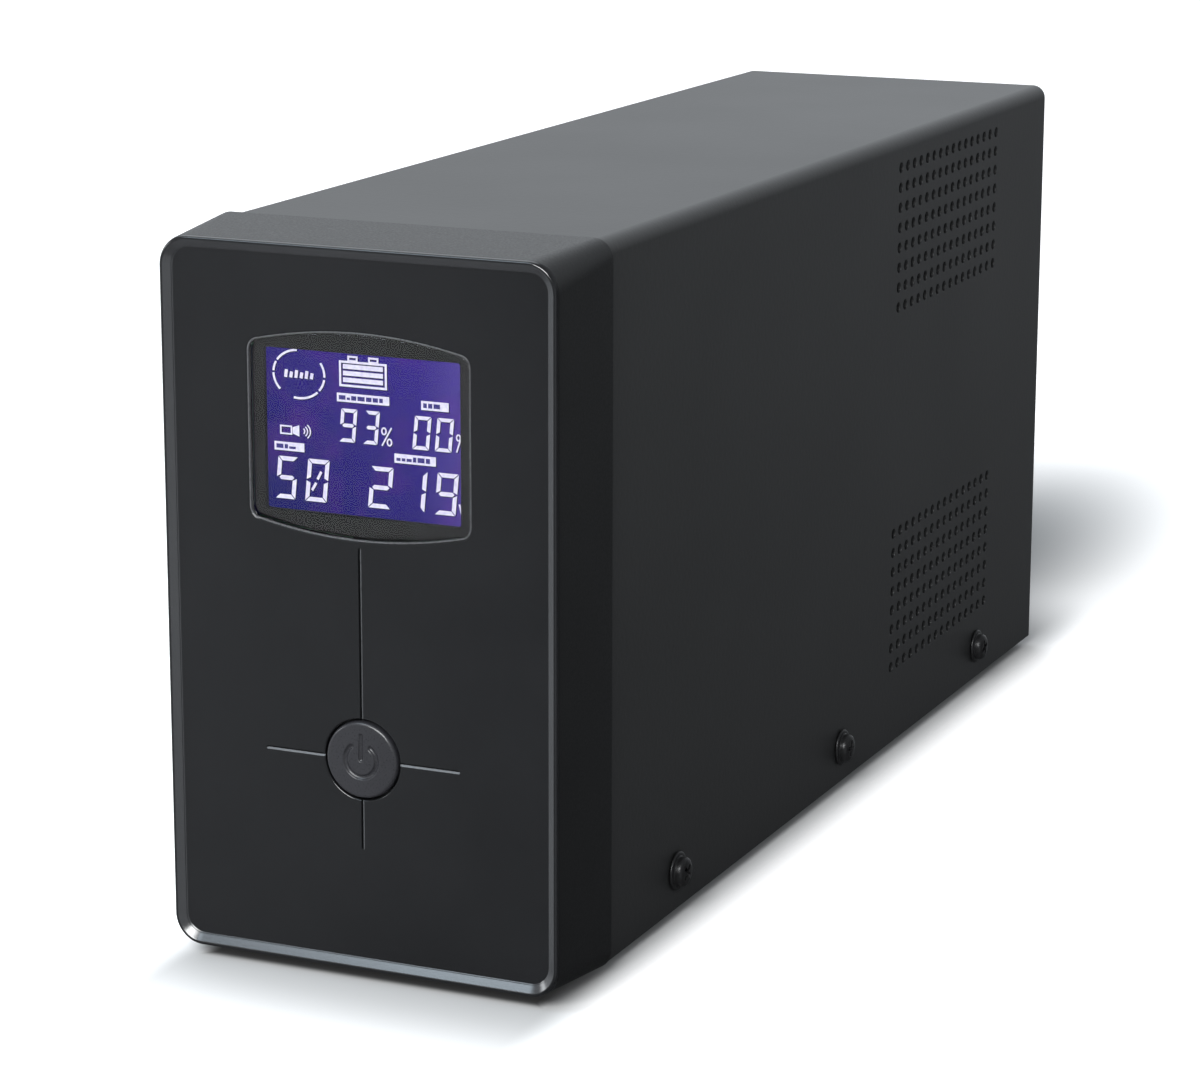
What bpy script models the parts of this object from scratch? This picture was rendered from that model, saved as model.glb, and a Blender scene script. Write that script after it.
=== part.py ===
"""A line-interactive uninterruptible power supply in a steel case with a moulded front.

The frame has +X to the right of the front, +Y to the back and +Z up. The origin is the
bottom centre of the whole object, on the surface that its feet stand on.
"""

import math

import bmesh
import bpy
from mathutils import Vector

MM = 0.001
GAP = 0.3 * MM  # clearance between two pieces that touch

# Steel case
COVER_WIDTH = 80.0 * MM
COVER_HEIGHT = 140.0 * MM
COVER_LENGTH = 267.0 * MM
COVER_BEND = 3.0 * MM
SHEET = 1.0 * MM
FOOT_HEIGHT = 2.2 * MM
FOOT_RADIUS = 7.0 * MM
REAR_PROUD = 2.3 * MM  # how far the fuse drawer stands out of the back of the case

# Ventilation holes in both sides of the cover
VENT_COLUMNS = 16
VENT_ROWS = 8
VENT_PITCH = 4.48 * MM
VENT_HOLE = 2.2 * MM
VENT_FROM_SEAM = 195.2 * MM
VENT_HEIGHTS = (33.9 * MM, 117.3 * MM)

# Cover screws
SCREW_HEIGHT = 8.1 * MM
SCREW_PLACES = (35.3 * MM, 129.2 * MM, 223.0 * MM)
SCREW_HEAD_RADIUS = 3.9 * MM
SCREW_SHANK_RADIUS = 1.8 * MM
SCREW_HOLE_RADIUS = 2.2 * MM

# Moulded front
BEZEL_DEPTH = 23.5 * MM
BEZEL_WALL = 2.5 * MM
BEZEL_BACK_WIDTH = 83.6 * MM
BEZEL_FRONT_WIDTH = 81.8 * MM
BEZEL_BACK_HEIGHT = 141.2 * MM
BEZEL_FRONT_HEIGHT = 139.0 * MM
BEZEL_BACK_RADIUS = 4.0 * MM
BEZEL_FRONT_RADIUS = 6.0 * MM
PANEL_RECESS = 1.3 * MM
PANEL_THICKNESS = 2.4 * MM
RIM_WIDTH = 2.0 * MM

# Display
WINDOW_HALF_WIDTH = 23.0 * MM
WINDOW_CORNER_HEIGHT = 16.7 * MM
WINDOW_BOW = 2.9 * MM
WINDOW_CORNER = 2.5 * MM
WINDOW_CENTRE = 103.9 * MM
LCD_WIDTH = 40.4 * MM
LCD_HEIGHT = 30.6 * MM
LENS_THICKNESS = 1.4 * MM
POST_X = 25.5 * MM  # the posts behind the front panel that hold the display board

# Power button
BUTTON_RADIUS = 7.5 * MM
BUTTON_BORE = 7.9 * MM
BUTTON_HEIGHT = 42.1 * MM
BUTTON_PROUD = 0.7 * MM
GROOVE_WIDTH = 0.7 * MM
GROOVE_DEPTH = 0.4 * MM
GROOVE_TOP = 83.0 * MM
GROOVE_BOTTOM = 24.4 * MM
GROOVE_REACH = 20.4 * MM

# Battery, transformer and main board
BATTERY_WIDTH = 65.0 * MM
BATTERY_LENGTH = 151.0 * MM
BATTERY_HEIGHT = 94.0 * MM
CORE_WIDTH = 66.0 * MM
CORE_HEIGHT = 55.0 * MM
CORE_STACK = 45.0 * MM
BOARD_THICKNESS = 1.6 * MM
TERMINAL_X = 24.0 * MM

# Mains connectors
CONNECTOR_WIDTH = 24.5 * MM
CONNECTOR_HEIGHT = 16.5 * MM
CONNECTOR_CHAMFER = 4.5 * MM
CONNECTOR_DEPTH = 17.0 * MM
FLANGE_THICKNESS = 2.0 * MM
INLET_HALF = (13.8 * MM, 15.0 * MM)
OUTLET_HALF = (13.8 * MM, 10.4 * MM)
USB_HALF = (6.0 * MM, 5.6 * MM)
JACK_HALF = (15.0 * MM, 7.6 * MM)
DRAWER_HALF = (11.7 * MM, 3.7 * MM)
INLET_CENTRE = (-18.5 * MM, 32.0 * MM)
OUTLET_CENTRES = ((18.5 * MM, 28.0 * MM), (18.5 * MM, 56.0 * MM), (18.5 * MM, 84.0 * MM))
USB_CENTRE = (-18.5 * MM, 66.0 * MM)
JACK_CENTRE = (-18.5 * MM, 90.0 * MM)

# Places worked out from the sizes above
Y_FRONT = -(BEZEL_DEPTH + COVER_LENGTH + REAR_PROUD) / 2
Y_SEAM = Y_FRONT + BEZEL_DEPTH
Y_REAR = Y_SEAM + COVER_LENGTH
Z_CASE = FOOT_HEIGHT
Z_TOP = Z_CASE + COVER_HEIGHT
Y_PANEL = Y_FRONT + PANEL_RECESS
Y_PANEL_BACK = Y_PANEL + PANEL_THICKNESS
TRAY_BOTTOM = Z_CASE + 0.5 * MM
TRAY_SHEET = 1.2 * MM
TRAY_TOP = TRAY_BOTTOM + TRAY_SHEET
TRAY_HALF_WIDTH = COVER_WIDTH / 2 - SHEET - GAP
BULKHEAD_FRONT = Y_SEAM + 1.5 * MM
BULKHEAD_BACK = BULKHEAD_FRONT + TRAY_SHEET
Y_REAR_PANEL = Y_REAR - 0.6 * MM  # outer face of the rear panel
Y_FLANGE = Y_REAR_PANEL + GAP  # inner face of each socket's flange
SOCKET_BACK = Y_FLANGE - 20.0 * MM
INLET_RECESS = (INLET_CENTRE[0], Z_CASE + INLET_CENTRE[1] + 5.2 * MM)
DRAWER_CENTRE = (INLET_CENTRE[0], Z_CASE + INLET_CENTRE[1] - 9.4 * MM)
BUTTON_Z = Z_CASE + BUTTON_HEIGHT
WINDOW_Z = Z_CASE + WINDOW_CENTRE
DISPLAY_BOARD_Y = Y_PANEL + 10.8 * MM  # front face of the display board
BOARD_POST_HEIGHTS = (Z_CASE + 32.0 * MM, Z_CASE + 127.0 * MM)
BATTERY_FRONT = BULKHEAD_BACK + 4.0 * MM
BATTERY_BOTTOM = TRAY_TOP + GAP
BATTERY_TOP = BATTERY_BOTTOM + BATTERY_HEIGHT
TERMINAL_Y = BATTERY_FRONT + 6.0 * MM
MAIN_BOARD_Z = BATTERY_TOP + 12.0 * MM
MAIN_BOARD_TOP = MAIN_BOARD_Z + BOARD_THICKNESS
MAIN_BOARD_FRONT = BATTERY_FRONT + 14.0 * MM
MAIN_BOARD_BACK = BATTERY_FRONT + BATTERY_LENGTH - 4.0 * MM


# --- Mesh helpers ---------------------------------------------------------------------


def clear_scene():
    for obj in list(bpy.data.objects):
        bpy.data.objects.remove(obj, do_unlink=True)


def place(axis, u, v, along):
    """A point whose two coordinates across the axis are u and v."""
    if axis == "X":
        return (along, u, v)
    if axis == "Y":
        return (u, along, v)
    return (u, v, along)


def loft(axis, stations):
    """A closed shape through equal loops: each station is (outline, place on the axis)."""
    verts = []
    for outline, along in stations:
        verts += [place(axis, u, v, along) for u, v in outline]
    count = len(stations[0][0])
    faces = [tuple(range(count))]
    for ring in range(len(stations) - 1):
        low = ring * count
        for i in range(count):
            j = (i + 1) % count
            faces.append((low + i, low + j, low + count + j, low + count + i))
    last = (len(stations) - 1) * count
    faces.append(tuple(range(last, last + count)))
    return verts, faces


def prism(axis, outline, start, end):
    return loft(axis, [(outline, start), (outline, end)])


def box(low, high):
    outline = [(low[0], low[2]), (high[0], low[2]), (high[0], high[2]), (low[0], high[2])]
    return prism("Y", outline, low[1], high[1])


def ring_prism(axis, outer, inner, start, end):
    """A closed shape between two equal outlines, one inside the other."""
    verts = []
    for outline, along in ((outer, start), (outer, end), (inner, end), (inner, start)):
        verts += [place(axis, u, v, along) for u, v in outline]
    count = len(outer)
    faces = []
    for ring in range(4):
        near, far = ring * count, ((ring + 1) % 4) * count
        for i in range(count):
            j = (i + 1) % count
            faces.append((near + i, near + j, far + j, far + i))
    return verts, faces


def turned(axis, centre, profile, sides):
    """A closed shape turned about a line along the axis: profile holds (radius, place)."""
    verts = []
    faces = []
    rings = []
    for radius, along in profile:
        rings.append(len(verts))
        turns = sides if radius > 0 else 1
        for i in range(turns):
            angle = 2 * math.pi * (i + 0.5) / sides
            u = centre[0] + radius * math.cos(angle)
            v = centre[1] + radius * math.sin(angle)
            verts.append(place(axis, u, v, along))
    for k in range(len(profile) - 1):
        a, b = rings[k], rings[k + 1]
        flat_a, flat_b = profile[k][0] == 0, profile[k + 1][0] == 0
        for i in range(sides):
            j = (i + 1) % sides
            if flat_a:
                faces.append((a, b + i, b + j))
            elif flat_b:
                faces.append((a + i, b, a + j))
            else:
                faces.append((a + i, b + i, b + j, a + j))
    return verts, faces


def cylinder(axis, centre, radius, start, end, sides):
    return turned(axis, centre, [(0, start), (radius, start), (radius, end), (0, end)], sides)


def joined(shapes):
    """Several shapes that don't touch, as one mesh."""
    verts = []
    faces = []
    for shape_verts, shape_faces in shapes:
        first = len(verts)
        verts += shape_verts
        faces += [tuple(first + i for i in face) for face in shape_faces]
    return verts, faces


def rectangle(half_width, half_height, centre=(0, 0)):
    x, z = centre
    return [
        (x - half_width, z - half_height),
        (x + half_width, z - half_height),
        (x + half_width, z + half_height),
        (x - half_width, z + half_height),
    ]


def rounded_rectangle(half_width, half_height, radius, centre=(0, 0), steps=5):
    points = []
    for quarter, (sx, sz) in enumerate(((1, 1), (-1, 1), (-1, -1), (1, -1))):
        for step in range(steps + 1):
            angle = math.pi / 2 * (quarter + step / steps)
            x = sx * (half_width - radius) + radius * math.cos(angle)
            z = sz * (half_height - radius) + radius * math.sin(angle)
            points.append((centre[0] + x, centre[1] + z))
    return points


def connector_outline(inset, centre):
    """The outline of a mains connector, with its two upper corners cut off."""
    half_width = CONNECTOR_WIDTH / 2 - inset
    half_height = CONNECTOR_HEIGHT / 2 - inset
    cut = CONNECTOR_CHAMFER - inset * (2 - math.sqrt(2))
    x, z = centre
    return [
        (x - half_width, z - half_height),
        (x + half_width, z - half_height),
        (x + half_width, z + half_height - cut),
        (x + half_width - cut, z + half_height),
        (x - half_width + cut, z + half_height),
        (x - half_width, z + half_height - cut),
    ]


def window_outline(inset):
    """The display window: straight sides, and a top and bottom that bow outwards."""
    half_width = WINDOW_HALF_WIDTH - inset
    radius = WINDOW_CORNER - inset
    top = []
    for step in range(9):
        x = (half_width - radius) * (1 - step / 4)
        rise = WINDOW_BOW * (1 - (x / WINDOW_HALF_WIDTH) ** 2)
        top.append((x, WINDOW_CORNER_HEIGHT - inset + rise))
    corner_z = top[0][1] - radius
    right = [
        (half_width - radius * (1 - math.cos(angle)), corner_z + radius * math.sin(angle))
        for angle in (0, math.pi / 6, math.pi / 3)
    ]
    left = [(-x, z) for x, z in reversed(right)]
    upper = right + top + left
    lower = [(-x, -z) for x, z in upper]
    return [(x, WINDOW_Z + z) for x, z in upper + lower]


# --- Objects --------------------------------------------------------------------------


def material(name, colour, roughness, metallic=0.0):
    made = bpy.data.materials.new(name)
    made.use_nodes = True
    surface = made.node_tree.nodes["Principled BSDF"]
    surface.inputs["Base Color"].default_value = (*colour, 1)
    surface.inputs["Roughness"].default_value = roughness
    surface.inputs["Metallic"].default_value = metallic
    return made


STEEL_PAINT = ((0.035, 0.037, 0.040), 0.5)
BARE_STEEL = ((0.55, 0.56, 0.57), 0.35, 0.9)
BLACK_PLASTIC = ((0.018, 0.018, 0.020), 0.45)
BOARD_GREEN = ((0.02, 0.16, 0.07), 0.5)
BRASS = ((0.75, 0.60, 0.30), 0.3, 1.0)
RUBBER = ((0.02, 0.02, 0.02), 0.85)


def new_mesh(name, shape, origin=(0, 0, 0)):
    verts, faces = shape
    mesh = bpy.data.meshes.new(name)
    mesh.from_pydata([Vector(v) - Vector(origin) for v in verts], [], faces)
    work = bmesh.new()
    work.from_mesh(mesh)
    bmesh.ops.recalc_face_normals(work, faces=work.faces)
    work.to_mesh(mesh)
    work.free()
    return mesh


def piece(name, shape, finish, origin=(0, 0, 0), smooth=False):
    """One part of the object, with its own material and its origin at the given point."""
    mesh = new_mesh(name, shape, origin)
    if smooth:
        mesh.shade_smooth()
        mesh.set_sharp_from_angle(angle=math.radians(35))
    obj = bpy.data.objects.new(name, mesh)
    obj.location = origin
    bpy.context.collection.objects.link(obj)
    mesh.materials.append(material(name + "_finish", *finish))
    return obj


def helper(name, shape):
    """A cutter or an addition, which isn't part of the object itself."""
    obj = bpy.data.objects.new(name, new_mesh(name, shape))
    obj.hide_render = True
    obj.display_type = "WIRE"
    bpy.context.collection.objects.link(obj)
    return obj


def combine(obj, shape, operation, label):
    modifier = obj.modifiers.new(label, "BOOLEAN")
    modifier.operation = operation
    modifier.solver = "EXACT"
    modifier.object = helper(f"{obj.name}_{label}", shape)


def cut(obj, shape, label):
    combine(obj, shape, "DIFFERENCE", label)


def add(obj, shape, label):
    combine(obj, shape, "UNION", label)


def bevel(obj, width, segments=1):
    modifier = obj.modifiers.new("bevel", "BEVEL")
    modifier.width = width
    modifier.segments = segments
    modifier.limit_method = "ANGLE"


# --- Front ----------------------------------------------------------------------------


def make_bezel():
    centre = (0, Z_CASE + COVER_HEIGHT / 2)
    middle_z = centre[1]

    def outline(half_width, half_height, radius):
        return rounded_rectangle(half_width, half_height, radius, centre)

    def front(inset):
        half_width = BEZEL_FRONT_WIDTH / 2 - inset
        half_height = BEZEL_FRONT_HEIGHT / 2 - inset
        return outline(half_width, half_height, BEZEL_FRONT_RADIUS - inset)

    back_y = Y_SEAM - GAP
    back = outline(BEZEL_BACK_WIDTH / 2, BEZEL_BACK_HEIGHT / 2, BEZEL_BACK_RADIUS)
    back_inner = outline(
        BEZEL_BACK_WIDTH / 2 - BEZEL_WALL,
        BEZEL_BACK_HEIGHT / 2 - BEZEL_WALL,
        BEZEL_BACK_RADIUS - BEZEL_WALL,
    )
    stations = [
        (front(BEZEL_WALL), Y_PANEL_BACK),
        (back_inner, back_y),
        (back, back_y),
        (front(0), Y_FRONT + 1.2 * MM),
        (front(0.3 * MM), Y_FRONT + 0.35 * MM),
        (front(0.9 * MM), Y_FRONT),
        (front(RIM_WIDTH), Y_PANEL),
    ]
    bezel = piece("front_bezel", loft("Y", stations), BLACK_PLASTIC)

    boss_radius = 3.0 * MM
    boss_x = 33.0 * MM
    board_post_radius = 2.0 * MM
    posts = []
    for x in (-boss_x, boss_x):
        for dz in (-56.0 * MM, 56.0 * MM):
            end = BULKHEAD_FRONT - GAP
            start = Y_PANEL_BACK - MM
            posts.append(cylinder("Y", (x, middle_z + dz), boss_radius, start, end, 10))
    for x in (-POST_X, POST_X):
        for z in BOARD_POST_HEIGHTS:
            start = Y_PANEL_BACK - MM
            end = DISPLAY_BOARD_Y - GAP
            posts.append(cylinder("Y", (x, z), board_post_radius, start, end, 8))
    add(bezel, joined(posts), "posts")

    before, behind = Y_PANEL - MM, Y_PANEL_BACK + MM
    screw_holes = [
        cylinder("Y", (x, middle_z - 56.0 * MM), 1.4 * MM, Y_SEAM - 8 * MM, Y_SEAM + 5 * MM, 8)
        for x in (-boss_x, boss_x)
    ]
    openings = [
        prism("Y", window_outline(0), before, behind),
        cylinder("Y", (0, BUTTON_Z), BUTTON_BORE, before, behind, 32),
    ]
    cut(bezel, joined(openings + screw_holes), "openings")

    half = GROOVE_WIDTH / 2
    deep = Y_PANEL + GROOVE_DEPTH
    near = BUTTON_BORE - 0.2 * MM
    grooves = [
        box((-half, before, BUTTON_Z + near), (half, deep, Z_CASE + GROOVE_TOP)),
        box((-half, before, Z_CASE + GROOVE_BOTTOM), (half, deep, BUTTON_Z - near)),
        box((-GROOVE_REACH, before, BUTTON_Z - half), (-near, deep, BUTTON_Z + half)),
        box((near, before, BUTTON_Z - half), (GROOVE_REACH, deep, BUTTON_Z + half)),
    ]
    cut(bezel, joined(grooves), "grooves")


def make_display():
    lens_back = Y_PANEL + LENS_THICKNESS
    lens = prism("Y", window_outline(GAP), Y_PANEL, lens_back)
    piece("display_lens", lens, ((0.05, 0.05, 0.06), 0.08))

    frame_front = lens_back + GAP
    frame_back = frame_front + 0.8 * MM
    lcd_centre = (0, WINDOW_Z)
    frame_outer = rectangle(22.2 * MM, 16.4 * MM, lcd_centre)
    frame_inner = rectangle(LCD_WIDTH / 2, LCD_HEIGHT / 2, lcd_centre)
    frame = ring_prism("Y", frame_outer, frame_inner, frame_front, frame_back)
    piece("display_mask", frame, BLACK_PLASTIC)

    glass_front = frame_back + GAP
    glass_back = glass_front + 2.0 * MM
    glass = prism("Y", rectangle(22.0 * MM, 16.2 * MM, lcd_centre), glass_front, glass_back)
    bevel(piece("lcd_glass", glass, ((0.05, 0.04, 0.35), 0.15)), 0.2 * MM)

    light_front = glass_back + GAP
    light_back = light_front + 3.0 * MM
    guide = prism("Y", rectangle(22.0 * MM, 17.0 * MM, lcd_centre), light_front, light_back)
    bevel(piece("backlight_guide", guide, ((0.8, 0.8, 0.85), 0.3)), 0.4 * MM)

    board_low = (-28.5 * MM, DISPLAY_BOARD_Y, Z_CASE + 28.0 * MM)
    board_high = (28.5 * MM, DISPLAY_BOARD_Y + BOARD_THICKNESS, Z_CASE + 131.0 * MM)
    piece("display_board", box(board_low, board_high), BOARD_GREEN)


def make_button():
    centre = (0, BUTTON_Z)
    origin = (0, Y_PANEL, BUTTON_Z)
    stem_end = 4.1 * MM
    profile = [
        (0, -BUTTON_PROUD),
        (4.5 * MM, -0.62 * MM),
        (6.6 * MM, -0.45 * MM),
        (7.2 * MM, -0.15 * MM),
        (BUTTON_RADIUS, 0.4 * MM),
        (BUTTON_RADIUS, PANEL_THICKNESS + GAP),
        (9.0 * MM, PANEL_THICKNESS + GAP),
        (9.0 * MM, PANEL_THICKNESS + GAP + MM),
        (2.5 * MM, PANEL_THICKNESS + GAP + MM),
        (2.5 * MM, stem_end),
        (0, stem_end),
    ]
    profile = [(radius, Y_PANEL + along) for radius, along in profile]
    cap = turned("Y", centre, profile, 32)
    piece("power_button", cap, ((0.05, 0.05, 0.06), 0.35), origin, smooth=True)

    plunger_front = Y_PANEL + stem_end + GAP
    plunger_back = plunger_front + 3.8 * MM
    plunger = cylinder("Y", centre, 1.7 * MM, plunger_front, plunger_back, 16)
    piece("switch_plunger", plunger, ((0.7, 0.7, 0.68), 0.4), (0, plunger_front, BUTTON_Z), True)

    body_front = plunger_front + 1.5 * MM
    half = 4.2 * MM
    body = box((-half, body_front, BUTTON_Z - half), (half, DISPLAY_BOARD_Y - GAP, BUTTON_Z + half))
    switch = piece("switch_body", body, ((0.03, 0.03, 0.03), 0.5))
    bore_end = DISPLAY_BOARD_Y - 0.8 * MM
    cut(switch, cylinder("Y", centre, 2.0 * MM, body_front - MM, bore_end, 16), "bore")


# --- Case -----------------------------------------------------------------------------


def cover_outline():
    """The cross-section of the bent cover, out along the outside and back along the inside."""
    half = COVER_WIDTH / 2
    outside = [(half, Z_CASE)]
    inside = [(half - SHEET, Z_CASE)]
    for step in range(5):
        angle = math.pi / 2 * step / 4
        for line, radius in ((outside, COVER_BEND), (inside, COVER_BEND - SHEET)):
            x = half - COVER_BEND + radius * math.cos(angle)
            z = Z_TOP - COVER_BEND + radius * math.sin(angle)
            line.append((x, z))
    outside += [(-x, z) for x, z in reversed(outside)]
    inside += [(-x, z) for x, z in reversed(inside)]
    return outside + inside[::-1]


def vent_rows(height):
    """Square holes straight through both sides of the case, in a regular grid."""
    reach = COVER_WIDTH / 2 + MM
    depth = 3 * MM
    half = VENT_HOLE / 2
    holes = []
    for row in range(VENT_ROWS):
        z = Z_CASE + height + (row - (VENT_ROWS - 1) / 2) * VENT_PITCH
        for column in range(VENT_COLUMNS):
            y = Y_SEAM + VENT_FROM_SEAM + (column - (VENT_COLUMNS - 1) / 2) * VENT_PITCH
            for x in (-reach, reach - depth):
                holes.append(box((x, y - half, z - half), (x + depth, y + half, z + half)))
    return holes


def screw_holes(radius):
    reach = COVER_WIDTH / 2 + MM
    holes = []
    for along in SCREW_PLACES:
        centre = (Y_SEAM + along, Z_CASE + SCREW_HEIGHT)
        holes.append(cylinder("X", centre, radius, -reach, reach, 12))
    return holes


def make_cover():
    cover = piece("top_cover", prism("Y", cover_outline(), Y_SEAM, Y_REAR), STEEL_PAINT)
    holes = screw_holes(SCREW_HOLE_RADIUS)
    for height in VENT_HEIGHTS:
        holes += vent_rows(height)
    cut(cover, joined(holes), "holes")


def make_chassis():
    half = TRAY_HALF_WIDTH
    flange_top = TRAY_BOTTOM + 16.0 * MM
    start = BULKHEAD_FRONT
    end = Y_REAR_PANEL - TRAY_SHEET - GAP
    outline = [
        (-half, TRAY_BOTTOM),
        (half, TRAY_BOTTOM),
        (half, flange_top),
        (half - SHEET, flange_top),
        (half - SHEET, TRAY_TOP),
        (-half + SHEET, TRAY_TOP),
        (-half + SHEET, flange_top),
        (-half, flange_top),
    ]
    tray = piece("chassis_tray", prism("Y", outline, start, end), BARE_STEEL)
    bulkhead_half = 36.5 * MM
    wall_low = (-bulkhead_half, start, TRAY_BOTTOM + 0.4 * MM)
    wall_high = (bulkhead_half, BULKHEAD_BACK, Z_CASE + 132.0 * MM)
    add(tray, box(wall_low, wall_high), "bulkhead")
    cable_low = (-10.0 * MM, start - MM, Z_CASE + 112.0 * MM)
    cable_high = (10.0 * MM, BULKHEAD_BACK + MM, Z_CASE + 124.0 * MM)
    bezel_holes = [
        cylinder("Y", (x, Z_CASE + 14.0 * MM), 1.7 * MM, start - MM, BULKHEAD_BACK + MM, 10)
        for x in (-33.0 * MM, 33.0 * MM)
    ]
    holes = screw_holes(SCREW_HOLE_RADIUS) + [box(cable_low, cable_high)] + bezel_holes
    cut(tray, joined(holes), "holes")


def cross_outline(centre, reach, half_width):
    """A cross-shaped recess for a screwdriver."""
    corners = []
    for turn in range(4):
        angle = math.pi / 2 * turn
        for u, v in ((reach, -half_width), (reach, half_width), (half_width, half_width)):
            x = u * math.cos(angle) - v * math.sin(angle)
            z = u * math.sin(angle) + v * math.cos(angle)
            corners.append((centre[0] + x, centre[1] + z))
    return corners


def make_cover_screws():
    """Flanged pan-head screws: three through each side of the cover into the chassis."""
    number = 0
    for side in (1, -1):
        face = side * (COVER_WIDTH / 2 + GAP)
        for along in SCREW_PLACES:
            number += 1
            centre = (Y_SEAM + along, Z_CASE + SCREW_HEIGHT)
            profile = [
                (0, 2.3 * MM),
                (1.6 * MM, 2.2 * MM),
                (2.6 * MM, 1.7 * MM),
                (3.0 * MM, 0.7 * MM),
                (SCREW_HEAD_RADIUS, 0.45 * MM),
                (SCREW_HEAD_RADIUS, 0),
                (SCREW_SHANK_RADIUS, 0),
                (SCREW_SHANK_RADIUS, -5.0 * MM),
                (0, -5.0 * MM),
            ]
            profile = [(radius, face + side * out) for radius, out in profile]
            shape = turned("X", centre, profile, 14)
            screw = piece(f"cover_screw_{number}", shape, ((0.03, 0.03, 0.03), 0.3, 0.8), smooth=True)
            tip, floor = face + side * 3.0 * MM, face + side * 1.1 * MM
            cross = prism("X", cross_outline(centre, 1.7 * MM, 0.35 * MM), floor, tip)
            cut(screw, cross, "cross")


def make_bezel_screws():
    """Two screws through the bulkhead into the lower bosses of the bezel."""
    head_front = BULKHEAD_BACK + GAP
    for number, x in enumerate((-33.0 * MM, 33.0 * MM), start=1):
        profile = [
            (0, Y_SEAM - 4.0 * MM),
            (1.1 * MM, Y_SEAM - 4.0 * MM),
            (1.1 * MM, head_front),
            (2.6 * MM, head_front),
            (2.3 * MM, head_front + 1.6 * MM),
            (0, head_front + 1.8 * MM),
        ]
        shape = turned("Y", (x, Z_CASE + 14.0 * MM), profile, 10)
        piece(f"bezel_screw_{number}", shape, BARE_STEEL, smooth=True)


def make_feet():
    top = TRAY_BOTTOM - GAP
    number = 0
    for x in (-28.0 * MM, 28.0 * MM):
        for along in (28.0 * MM, 239.0 * MM):
            number += 1
            profile = [
                (0, 0),
                (FOOT_RADIUS - 0.6 * MM, 0),
                (FOOT_RADIUS, 0.6 * MM),
                (FOOT_RADIUS, top),
                (0, top),
            ]
            shape = turned("Z", (x, Y_SEAM + along), profile, 20)
            piece(f"rubber_foot_{number}", shape, RUBBER, smooth=True)


# --- Rear -----------------------------------------------------------------------------


def make_rear_panel():
    outer = Y_REAR_PANEL
    inner = Y_REAR_PANEL - TRAY_SHEET
    half = TRAY_HALF_WIDTH
    top = Z_TOP - SHEET - GAP
    foot = TRAY_TOP + GAP
    foot_end = inner - 10.0 * MM
    outline = [
        (outer, foot),
        (outer, top),
        (inner, top),
        (inner, foot + TRAY_SHEET),
        (foot_end, foot + TRAY_SHEET),
        (foot_end, foot),
    ]
    inside = half - SHEET - GAP
    panel = piece("rear_panel", prism("X", outline, -inside, inside), STEEL_PAINT)
    sides = []
    edge_top = Z_TOP - COVER_BEND - GAP
    for low, high in ((-half, -inside + 0.2 * MM), (inside - 0.2 * MM, half)):
        sides.append(box((low, inner, TRAY_BOTTOM + 16.5 * MM), (high, outer, edge_top)))
    add(panel, joined(sides), "edges")
    cutouts = [((INLET_CENTRE[0], INLET_CENTRE[1]), INLET_HALF)]
    cutouts += [(centre, OUTLET_HALF) for centre in OUTLET_CENTRES]
    cutouts += [(USB_CENTRE, USB_HALF), (JACK_CENTRE, JACK_HALF)]
    holes = []
    for (x, z), (half_x, half_z) in cutouts:
        outline = rectangle(half_x + GAP, half_z + GAP, (x, Z_CASE + z))
        holes.append(prism("Y", outline, inner - MM, outer + MM))
    cut(panel, joined(holes), "cutouts")


def flanged_block(centre, half, margin, back):
    """A socket body with a flange round its face, as stations along Y."""
    block = rectangle(half[0], half[1], centre)
    flange = rectangle(half[0] + margin, half[1] + margin, centre)
    lip = rectangle(half[0] + margin - 0.4 * MM, half[1] + margin - 0.4 * MM, centre)
    face = Y_FLANGE + FLANGE_THICKNESS
    return loft(
        "Y",
        [
            (block, back),
            (block, Y_FLANGE),
            (flange, Y_FLANGE),
            (flange, face - 0.4 * MM),
            (lip, face),
        ],
    )


def make_inlet():
    centre = (INLET_CENTRE[0], Z_CASE + INLET_CENTRE[1])
    shape = flanged_block(centre, INLET_HALF, 1.6 * MM, SOCKET_BACK)
    inlet = piece("mains_inlet", shape, BLACK_PLASTIC)
    face = Y_FLANGE + FLANGE_THICKNESS
    floor = face - CONNECTOR_DEPTH
    slot = rectangle(DRAWER_HALF[0] + GAP, DRAWER_HALF[1] + GAP, DRAWER_CENTRE)
    recess = prism("Y", connector_outline(0, INLET_RECESS), floor, face + MM)
    drawer_slot = prism("Y", slot, face - 18.2 * MM, face + MM)
    cut(inlet, joined([recess, drawer_slot]), "recess")
    pin_half = (1.0 * MM, 2.0 * MM)
    pins = {"line": (-7.0 * MM, -2.0 * MM), "earth": (0, 2.0 * MM), "neutral": (7.0 * MM, -2.0 * MM)}
    holes = []
    for name, (dx, dz) in pins.items():
        middle = (INLET_RECESS[0] + dx, INLET_RECESS[1] + dz)
        hole = rectangle(pin_half[0] + GAP, pin_half[1] + GAP, middle)
        holes.append(prism("Y", hole, SOCKET_BACK - MM, floor + MM))
        length = 15.0 * MM if name == "earth" else 13.5 * MM
        blade = rectangle(pin_half[0], pin_half[1], middle)
        tip = rectangle(pin_half[0] - 0.6 * MM, pin_half[1] - 0.6 * MM, middle)
        stations = [
            (blade, SOCKET_BACK - 5.0 * MM),
            (blade, floor + length - MM),
            (tip, floor + length),
        ]
        piece(f"inlet_pin_{name}", loft("Y", stations), BRASS)
    cut(inlet, joined(holes), "pin_holes")


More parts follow.
